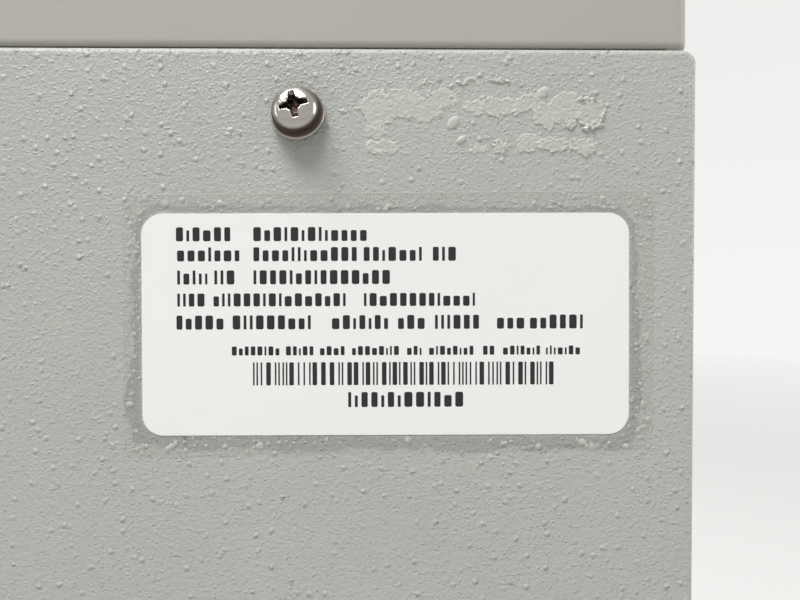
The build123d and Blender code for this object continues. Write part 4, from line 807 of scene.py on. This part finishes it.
class RearLabel(bpy.types.Operator):
    """Make the printed label: a white plate, with its wording left as plain inked blocks"""

    bl_idname = "chromatography.rear_label"
    bl_label = "Rear label"

    def execute(self, context):
        settings = context.scene.label_settings
        width, height = settings.label_size
        bm = bmesh.new()
        corner, thickness = settings.label_corner, settings.label_thickness
        rounded_plate(bm, on_panel(*LABEL_MIDDLE), width, height, corner, thickness, 0.03 * MM, 10)
        set_askew(bm, settings.label_turn)
        # Matt white polyester film with a pale cold cast, and the faintest ripple
        material, tree, shader, place = new_material("white_polyester_label")
        shader.inputs["Roughness"].default_value = 0.34
        tree.links.new(mottle(tree, place, 25 * MM, "#F2F2EF", "#EEEEEC"), shader.inputs["Base Color"])
        tree.links.new(grain_bump(tree, place, 5 * MM, 0.03 * MM), shader.inputs["Normal"])
        finish_piece("rear_label", bm, material, "root", smooth=False)

        random.seed(23)
        bm = bmesh.new()
        for top, bottom, words in PRINT_ROWS:
            for start, end in words:
                left = start
                while left < end - 2:
                    wide = random.choice((0.2, 0.42, 0.5, 0.54)) * (bottom - top)
                    right = min(end, left + wide)
                    low = random.choice((0.0, 0.0, 0.22)) * (bottom - top)
                    print_block(bm, left, right, top + low, bottom, thickness)
                    left = right + 0.24 * (bottom - top)
        top, bottom, left, end = STRIPE_ROW
        while left < end:
            right = min(end, left + random.choice((1.6, 1.6, 4.6)))
            print_block(bm, left, right, top, bottom, thickness)
            left = right + random.choice((1.8, 2.6, 4.0))
        set_askew(bm, settings.label_turn)
        # Thermal-transfer resin ink: near black, slightly glossy
        material, tree, shader, place = new_material("resin_ink")
        shader.inputs["Base Color"].default_value = settings.ink
        shader.inputs["Roughness"].default_value = 0.3
        tree.links.new(grain_bump(tree, place, 0.4 * MM, 0.004 * MM), shader.inputs["Normal"])
        finish_piece("label_print", bm, material, "root", smooth=False)
        return {"FINISHED"}


def round_box_distance(across, up, half_width, half_height, radius):
    """Distance outside a rectangle with round corners; negative inside it."""
    dx = np.abs(across) - half_width + radius
    dz = np.abs(up) - half_height + radius
    outside = np.hypot(np.maximum(dx, 0), np.maximum(dz, 0))
    return outside + np.minimum(np.maximum(dx, dz), 0) - radius


def ramp(low, high, values):
    """The even curve of smooth_step for an array."""
    share = np.clip((values - low) / (high - low), 0, 1)
    return share * share * (3 - 2 * share)


def rough_field(points, size, detail=3):
    """Fractal noise from about -1 to 1 at each point, for features of a given size."""
    return np.array([noise.fractal(Vector(point) / size, 0.9, 2.0, detail) for point in points])


class LabelFilm(bpy.types.Operator):
    """Make the clear film over the label, with air trapped under its border"""

    bl_idname = "chromatography.label_film"
    bl_label = "Label film"

    def execute(self, context):
        settings = context.scene.label_settings
        corners = [on_panel(*corner) for corner in FILM_CORNERS]
        width = ((corners[0] - corners[1]).length + (corners[3] - corners[2]).length) / 2
        height = ((corners[0] - corners[3]).length + (corners[1] - corners[2]).length) / 2
        centre = sum(corners, Vector()) / 4
        label = on_panel(*LABEL_MIDDLE)
        cell = 0.2 * MM
        bm = bmesh.new()
        layers = [bm.verts.layers.float.new(name) for name in ("wet", "bare", "air_and_highlight")]
        verts = upright_grid(bm, centre, (width, height), (round(width / cell), round(height / cell)))
        points = np.array([vert.co[:] for vert in verts])
        across, up = points[:, 0] - centre.x, points[:, 2] - centre.z
        left, low = (0.5 + across / width)[:, None], (0.5 - up / height)[:, None]
        over, right_over, right_under, under = np.array([corner[:] for corner in corners])
        top_row = over * left + right_over * (1 - left)
        low_row = under * left + right_under * (1 - left)
        points = top_row * (1 - low) + low_row * low
        border = -round_box_distance(across, up, width / 2, height / 2, 0.2 * MM)
        beyond = round_box_distance(
            points[:, 0] - label.x, points[:, 2] - label.z,
            settings.label_size[0] / 2, settings.label_size[1] / 2, settings.label_corner,
        )
        over_label = ramp(0.5 * MM, 0.0, beyond)
        lift = settings.film_lift + over_label * (settings.label_thickness + 0.02 * MM)

        # It wets the paint next to the label, further out at the lower side, up to a ragged shore
        blotch = rough_field(points, 5 * MM, 4)
        low_side = np.clip((label.z - points[:, 2]) / height, -0.5, 0.5)
        wet = ramp(0.0, 0.12, 0.8 * blotch + (1.7 * MM - beyond) / (1.2 * MM) + 1.2 * low_side)
        wet = np.maximum(wet, ramp(1.2 * MM, 0.8 * MM, beyond + 0.25 * MM * blotch))
        random.seed(11)
        spots = [(*on_panel(x, y).xz, size * PHOTO_SCALE) for x, y, size in FILM_BUBBLES]
        for _ in range(settings.bubble_count):
            share, inset = random.random(), random.uniform(0.02, 0.1)
            side = random.randrange(4)
            left = (share, inset / 2, share, 1 - inset / 2)[side]
            low = (inset, share, 1 - inset, share)[side]
            spot = (corners[0] * (1 - left) + corners[1] * left) * (1 - low)
            spot += (corners[3] * (1 - left) + corners[2] * left) * low
            spots.append((spot.x, spot.z, random.choice((0.12, 0.15, 0.18, 0.24, 0.32)) * MM))
        air_and_highlight = np.zeros(len(points))
        for x, z, radius in spots:
            stretch = random.uniform(0.8, 1.25)
            reach = np.hypot((points[:, 0] - x) * stretch, (points[:, 2] - z) / stretch) / radius
            dome = np.sqrt(np.clip(1 - reach ** 2, 0, 1)) * (1 - over_label)
            lift = lift + dome * min(radius * 0.55, 0.2 * MM)
            air_and_highlight = np.maximum(air_and_highlight, ramp(0.0, 0.5, dome) * 0.62)
        frosted = ramp(0.1, 0.4, rough_field(points, 0.5 * MM, 3)) * ramp(0.8, 0.2, wet)
        shore = np.exp(-((wet - 0.5) / 0.3) ** 2) * (1 - over_label)
        tented = rough_field(points, 0.7 * MM, 3)
        lift = lift + (0.045 * tented * (1 - 0.7 * wet) + 0.03 * shore) * MM * (1 - over_label)
        edge = ramp(0.0, 0.9 * MM, border)
        lift = lift * edge
        # Painted highlight: a strip along the top of the cut edge is made pale and opaque, as if it caught
        # the light from above
        painted_top_highlight = ramp(0.3 * MM, 0.0, height / 2 - up)
        air_and_highlight = np.max([air_and_highlight, frosted * 0.36, shore * 0.34, painted_top_highlight], axis=0)

        for vert, point, raised, *values in zip(verts, points, lift, wet, 1 - over_label, air_and_highlight):
            vert.co = point + (0, raised + 0.004 * MM, 0)
            for layer, value in zip(layers, values):
                vert[layer] = value

        # Polyester overlaminate: clear over the label, and where it wets the paint the paint looks darker
        material, tree, shader, place = new_material("clear_overlaminate")
        wet_value = add_node(tree, "ShaderNodeAttribute", attribute_name="wet").outputs["Fac"]
        bare_value = add_node(tree, "ShaderNodeAttribute", attribute_name="bare").outputs["Fac"]
        air_and_highlight_value = add_node(tree, "ShaderNodeAttribute", attribute_name="air_and_highlight").outputs["Fac"]
        shade = add_node(
            tree,
            "ShaderNodeMix",
            {"Factor": wet_value, "A": srgb("#B4B2AC"), "B": srgb("#33323A")},
            data_type="RGBA",
        )
        # Over air bubbles and frosted patches, and along the painted highlight at the top edge, the film
        # turns pale and opaque
        light = add_node(tree, "ShaderNodeMapRange", {"Value": air_and_highlight_value, "From Max": 0.3})
        tinted = add_node(
            tree,
            "ShaderNodeMix",
            {"Factor": light.outputs["Result"], "A": shade.outputs["Result"], "B": srgb("#C8C7C0")},
            data_type="RGBA",
        )
        cover = add_node(tree, "ShaderNodeMapRange", {"Value": wet_value, "To Min": 0.01, "To Max": 0.12})
        over_paint = add_node(
            tree, "ShaderNodeMath", {0: cover.outputs["Result"], 1: bare_value}, operation="MULTIPLY"
        )
        edged = add_node(
            tree, "ShaderNodeMath", {0: air_and_highlight_value, 1: over_paint.outputs["Value"]}, operation="ADD"
        )
        whole = add_node(tree, "ShaderNodeMath", {0: edged.outputs["Value"], 1: 0.01}, operation="ADD")
        tree.links.new(tinted.outputs["Result"], shader.inputs["Base Color"])
        tree.links.new(whole.outputs["Value"], shader.inputs["Alpha"])
        tree.links.new(grain_bump(tree, place, 0.5 * MM, 0.03 * MM), shader.inputs["Normal"])
        shader.inputs["Roughness"].default_value = 0.22
        shader.inputs["Specular IOR Level"].default_value = 0.8
        finish_piece("label_film", bm, material, "root")
        return {"FINISHED"}


# Patches of torn paint and glue, as pixels of the photograph: middle, half sizes, height in mm
SCABS = (
    (378, 110, 17, 17, 0.11), (403, 104, 21, 15, 0.12), (426, 110, 17, 13, 0.11), (443, 98, 13, 10, 0.1),
    (376, 131, 12, 7, 0.11), (383, 147, 17, 8, 0.12), (474, 106, 11, 8, 0.1), (499, 106, 25, 10, 0.12),
    (529, 102, 13, 11, 0.1), (548, 115, 14, 13, 0.11), (566, 106, 17, 15, 0.12), (589, 110, 17, 14, 0.22),
    (594, 124, 11, 5, 0.26), (570, 123, 8, 5, 0.2), (468, 81, 11, 3, 0.16), (499, 81, 10, 4, 0.2),
    (521, 84, 3, 4, 0.12), (426, 83, 7, 3, 0.14), (477, 148, 8, 4, 0.1), (501, 146, 8, 9, 0.15),
    (527, 142, 11, 11, 0.11), (554, 144, 19, 8, 0.12), (585, 146, 13, 9, 0.16),
)
# Single blisters near the patches: middle, half sizes, height in mm
BLISTERS = (
    (453, 122, 6, 7, 0.26), (461, 139, 4.5, 4.5, 0.3), (542, 92, 6, 6, 0.2), (374, 93, 4.5, 3, 0.14),
)


class TornPaint(bpy.types.Operator):
    """Make the patches of torn paint and glue between the screw and the label"""

    bl_idname = "chromatography.torn_paint"
    bl_label = "Torn paint"

    def execute(self, context):
        low, high = on_panel(350, 166), on_panel(616, 72)
        middle = (low + high) / 2
        size = (abs(high.x - low.x), abs(high.z - low.z))
        cell = 0.11 * MM
        bm = bmesh.new()
        layer = bm.verts.layers.float.new("torn")
        verts = upright_grid(bm, middle, size, (round(size[0] / cell), round(size[1] / cell)))
        points = np.array([vert.co[:] for vert in verts])
        start = on_panel(350, 72)
        px = 350 - (points[:, 0] - start.x) / PHOTO_SCALE
        py = 72 + (start.z - points[:, 2]) / PHOTO_SCALE
        coarse = rough_field(points, 1.5 * MM, 3)
        fine = rough_field(points, 0.45 * MM, 3)
        shifted = points + np.array((0.031, 0.0, 0.017))
        warp_x = px + 5.0 * coarse + 2.2 * fine
        warp_y = py + 4.5 * rough_field(shifted, 1.5 * MM, 3) + 2.0 * rough_field(shifted, 0.45 * MM, 3)
        field = np.full(len(points), -1.0)
        depth = np.zeros(len(points))
        for x, y, half_x, half_y, tall in SCABS:
            share = 1 - np.hypot((warp_x - x) / half_x, (warp_y - y) / half_y)
            share = share * min(half_x, half_y) / 9
            depth = np.where(share > field, tall, depth)
            field = np.maximum(field, share)
        plateau = ramp(-0.02, 0.16, field)
        lip = np.exp(-((field - 0.17) / 0.12) ** 2)
        strong = ramp(0.13, 0.22, depth)
        lumps = lip * (0.2 + (1.1 + 2.0 * strong) * np.maximum(fine, 0))
        height = depth * (plateau * (0.9 + 0.35 * coarse) + lumps)
        height += 0.05 * fine * plateau
        torn = lip * ramp(-0.25, 0.3, fine) * (0.5 + 0.5 * strong)
        for x, y, half_x, half_y, tall in BLISTERS:
            share = np.hypot((px - x + 0.4 * (py - y)) / half_x, (py - y) / half_y)
            height = np.maximum(height, tall * np.sqrt(np.clip(1 - share ** 2, 0, 1)))
            field = np.maximum(field, 1 - share)
        for vert, raised, value in zip(verts, height, torn):
            vert.co.y += max(raised, 0) * MM - 0.012 * MM
            vert[layer] = value
        outside = [vert for place, vert in enumerate(verts) if field[place] < -0.12]
        bmesh.ops.delete(bm, geom=outside, context="VERTS")
        loose = [vert for vert in bm.verts if not vert.link_faces]
        bmesh.ops.delete(bm, geom=loose, context="VERTS")
        # Paint film pulled up with dried glue on it: paler than the panel, matt, with a fine torn grain
        material, tree, shader, place = new_material("torn_paint_and_glue")
        shader.inputs["Roughness"].default_value = 0.5
        edge = add_node(tree, "ShaderNodeAttribute", attribute_name="torn").outputs["Fac"]
        flat = mottle(tree, place, 1.8 * MM, "#BDBDB6", "#B6B6B0")
        pale = add_node(
            tree, "ShaderNodeMix", {"Factor": edge, "A": flat, "B": srgb("#D9D7CE")}, data_type="RGBA"
        )
        tree.links.new(pale.outputs["Result"], shader.inputs["Base Color"])
        tree.links.new(grain_bump(tree, place, 0.5 * MM, 0.11 * MM, detail=5.0), shader.inputs["Normal"])
        finish_piece("torn_paint", bm, material, "root")
        return {"FINISHED"}


# Lead screws


def threaded_rod(name, low, high, axis, depth, settings, body):
    """A multi-start screw along one axis, between two corners of the CAD node that it replaces."""
    middle = (low + high) / 2
    length = high[axis] - low[axis]
    across = (axis + 1) % 3
    radius = (high[across] - low[across]) / 2
    steps = 20
    pitch = settings.lead / settings.starts
    bm = bmesh.new()
    turns = math.ceil(length / settings.lead) + 2
    chain = []
    for start in range(settings.starts):
        for share, sunk in ((0.0, 0.0), (0.3, 0.0), (0.45, 1.0), (0.85, 1.0)):
            chain.append(bm.verts.new((radius - depth * sunk, 0, pitch * (start + share))))
    chain.append(bm.verts.new((radius, 0, settings.lead)))
    edges = [bm.edges.new(pair) for pair in zip(chain, chain[1:])]
    bmesh.ops.spin(
        bm,
        geom=chain + edges,
        cent=(0, 0, 0),
        axis=(0, 0, 1),
        dvec=(0, 0, settings.lead / steps),
        angle=math.tau * turns,
        steps=steps * turns,
    )
    bmesh.ops.remove_doubles(bm, verts=bm.verts[:], dist=1e-6)
    start = settings.lead * 1.5
    for level, way in ((start, -1), (start + length, 1)):
        cut = bmesh.ops.bisect_plane(
            bm,
            geom=bm.verts[:] + bm.edges[:] + bm.faces[:],
            plane_co=(0, 0, level),
            plane_no=(0, 0, way),
            clear_outer=True,
        )
        rim = [item for item in cut["geom_cut"] if isinstance(item, bmesh.types.BMEdge)]
        bmesh.ops.contextual_create(bm, geom=rim)
    bmesh.ops.recalc_face_normals(bm, faces=bm.faces[:])
    bmesh.ops.translate(bm, vec=(0, 0, -start - length / 2), verts=bm.verts[:])
    turn = Matrix.Rotation(math.radians(90), 4, "Y")
    if axis == 1:
        turn = Matrix.Rotation(math.radians(-90), 4, "X")
    bmesh.ops.transform(bm, matrix=Matrix.Translation(middle) @ turn, verts=bm.verts[:])
    steel = bpy.data.materials["rolled_thread_steel"]
    return finish_piece(name, bm, steel, body, smooth=False)


class LeadScrews(bpy.types.Operator):
    """Cut the threads of the two lead screws of the fraction collector"""

    bl_idname = "chromatography.lead_screws"
    bl_label = "Lead screws"

    def execute(self, context):
        settings = context.scene.thread_settings
        # Rolled stainless thread: bright crests, slightly oily
        metal("rolled_thread_steel", "#C2C3C4", "#B2B4B5", 0.26, 0.5 * MM, 0.004 * MM)
        for node, axis, depth in (
            ("long_screw", 0, settings.long_depth),
            ("cross_screw", 1, settings.cross_depth),
        ):
            low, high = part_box(node)
            body = frame["nodes"][node]["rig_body"]
            piece = threaded_rod(f"{node}_thread", low, high, axis, depth, settings, body)
            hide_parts(node)
        return {"FINISHED"}


# Stage


def shown_rays(tree):
    """1 for the rays that show the background: from the camera, off gloss and through clear sheets."""
    ray = add_node(tree, "ShaderNodeLightPath")
    seen = add_node(
        tree,
        "ShaderNodeMath",
        {0: ray.outputs["Is Camera Ray"], 1: ray.outputs["Is Glossy Ray"]},
        operation="MAXIMUM",
    )
    through = add_node(
        tree,
        "ShaderNodeMath",
        {0: seen.outputs["Value"], 1: ray.outputs["Is Transmission Ray"]},
        operation="MAXIMUM",
    )
    return through.outputs["Value"]


def area_light(name, place, target, size, power):
    """A soft rectangular lamp that faces a point."""
    lamp = bpy.data.lights.new(name, "AREA")
    lamp.shape = "RECTANGLE"
    lamp.size, lamp.size_y = size
    lamp.energy = power
    obj = bpy.data.objects.new(name, lamp)
    obj.location = place
    obj.rotation_euler = (Vector(target) - Vector(place)).to_track_quat("-Z", "Y").to_euler()
    bpy.context.scene.collection.objects.link(obj)


class Stage(bpy.types.Operator):
    """Make the floor, the studio light and the camera"""

    bl_idname = "chromatography.stage"
    bl_label = "Stage"

    def execute(self, context):
        scene = context.scene
        settings = scene.stage_settings
        bm = bmesh.new()
        bmesh.ops.create_circle(bm, cap_ends=True, segments=96, radius=14.0)
        mesh = bpy.data.meshes.new("studio_floor")
        bm.to_mesh(mesh)
        bm.free()
        floor = bpy.data.objects.new("studio_floor", mesh)
        scene.collection.objects.link(floor)
        material, tree, shader, place = new_material("pale_matt_floor")
        shader.inputs["Roughness"].default_value = 0.9
        tree.links.new(mottle(tree, place, 0.6, "#E9E9E6", "#E6E6E3"), shader.inputs["Base Color"])
        # Where it is seen the floor is partly lit evenly, so it stays pale far off and keeps its shadows
        shown = shown_rays(tree)
        away = add_node(tree, "ShaderNodeVectorMath", {0: place}, operation="LENGTH")
        far = add_node(
            tree, "ShaderNodeMapRange", {"Value": away.outputs["Value"], "From Min": 2.0, "From Max": 7.0}
        )
        pale = add_node(
            tree,
            "ShaderNodeMix",
            {"Factor": far.outputs["Result"], "A": srgb("#F1F2EF"), "B": srgb("#F5F5F3")},
            data_type="RGBA",
        )
        even = add_node(tree, "ShaderNodeEmission", {"Color": pale.outputs["Result"], "Strength": 1.0})
        cover = add_node(
            tree, "ShaderNodeMapRange", {"Value": far.outputs["Result"], "To Min": 0.8, "To Max": 1.0}
        )
        share = add_node(
            tree,
            "ShaderNodeMath",
            {0: shown, 1: cover.outputs["Result"]},
            operation="MULTIPLY",
        )
        mixed = add_node(
            tree,
            "ShaderNodeMixShader",
            {"Fac": share.outputs["Value"], 1: shader.outputs["BSDF"], 2: even.outputs["Emission"]},
        )
        tree.links.new(mixed.outputs["Shader"], tree.nodes["Material Output"].inputs["Surface"])
        mesh.materials.append(material)

        world = bpy.data.worlds.new("studio_room")
        scene.world = world
        world.use_nodes = True
        tree = world.node_tree
        tree.nodes.clear()
        output = add_node(tree, "ShaderNodeOutputWorld")
        shown = shown_rays(tree)
        sky = add_node(tree, "ShaderNodeTexCoord")
        height = add_node(tree, "ShaderNodeSeparateXYZ", {"Vector": sky.outputs["Generated"]})
        upward = add_node(
            tree, "ShaderNodeMapRange", {"Value": height.outputs["Z"], "From Min": 0.0, "From Max": 0.35}
        )
        wall = add_node(
            tree,
            "ShaderNodeMix",
            {"Factor": upward.outputs["Result"], "A": srgb("#F5F5F3"), "B": srgb("#EEEEEC")},
            data_type="RGBA",
        )
        seen = add_node(tree, "ShaderNodeBackground", {"Color": wall.outputs["Result"], "Strength": 1.0})
        even = add_node(
            tree, "ShaderNodeBackground", {"Color": (1, 1, 1, 1), "Strength": settings.world_strength}
        )
        mix = add_node(
            tree,
            "ShaderNodeMixShader",
            {
                "Fac": shown,
                1: even.outputs["Background"],
                2: seen.outputs["Background"],
            },
        )
        tree.links.new(mix.outputs["Shader"], output.inputs["Surface"])

        middle = (0, 0, 0.3)
        fill, side_fill = settings.fill_power, settings.fill_power * 0.6
        area_light("key_above_rear", (0.2, 0.72, 1.6), (-0.08, 0.2, 0.45), (0.8, 0.45), settings.key_power)
        area_light("fill_above_front", (-0.5, -1.4, 1.5), middle, (1.4, 1.0), fill)
        area_light("fill_left", (-1.5, 0.1, 1.0), middle, (1.0, 1.0), side_fill)
        area_light("fill_right", (1.5, 0.0, 1.0), middle, (1.0, 1.0), side_fill)

        camera = bpy.data.cameras.new("camera")
        camera.sensor_width = 36.0
        camera.lens = 36.0 * CAMERA_DISTANCE / (PHOTO_SIZE[0] * PHOTO_SCALE)
        camera.clip_start = 0.005
        obj = bpy.data.objects.new("camera", camera)
        obj.location = CAMERA_PLACE
        obj.rotation_euler = (CAMERA_AXES @ Matrix.Diagonal((1, -1, -1))).to_euler()
        scene.collection.objects.link(obj)
        scene.camera = obj
        scene.view_settings.view_transform = "Standard"
        return {"FINISHED"}


class LookPanel(bpy.types.Panel):
    """Lists the steps that dress the chromatography system"""

    bl_idname = "VIEW3D_PT_chromatography"
    bl_label = "Chromatography System"
    bl_space_type = "VIEW_3D"
    bl_region_type = "UI"
    bl_category = "Chromatography"

    def draw(self, context):
        for step in STEPS:
            self.layout.operator(step.bl_idname)


SETTINGS = {
    "label_settings": LabelSettings,
    "screw_settings": ScrewSettings,
    "thread_settings": ThreadSettings,
    "stage_settings": StageSettings,
}
STEPS = (
    HousingFinish,
    DisplayFinish,
    CollectorFinish,
    FluidFinish,
    ElectricsFinish,
    CaseScrews,
    RearLabel,
    LabelFilm,
    TornPaint,
    LeadScrews,
    Stage,
)


def register():
    for group in SETTINGS.values():
        bpy.utils.register_class(group)
    for name, group in SETTINGS.items():
        setattr(bpy.types.Scene, name, PointerProperty(type=group))
    for step in (*STEPS, LookPanel):
        bpy.utils.register_class(step)


def unregister():
    for step in reversed((*STEPS, LookPanel)):
        bpy.utils.unregister_class(step)
    for name, group in SETTINGS.items():
        delattr(bpy.types.Scene, name)
        bpy.utils.unregister_class(group)


def main():
    """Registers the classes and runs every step."""
    register()
    for step in STEPS:
        family, name = step.bl_idname.split(".")
        getattr(getattr(bpy.ops, family), name)()


if __name__ == "__main__":
    main()
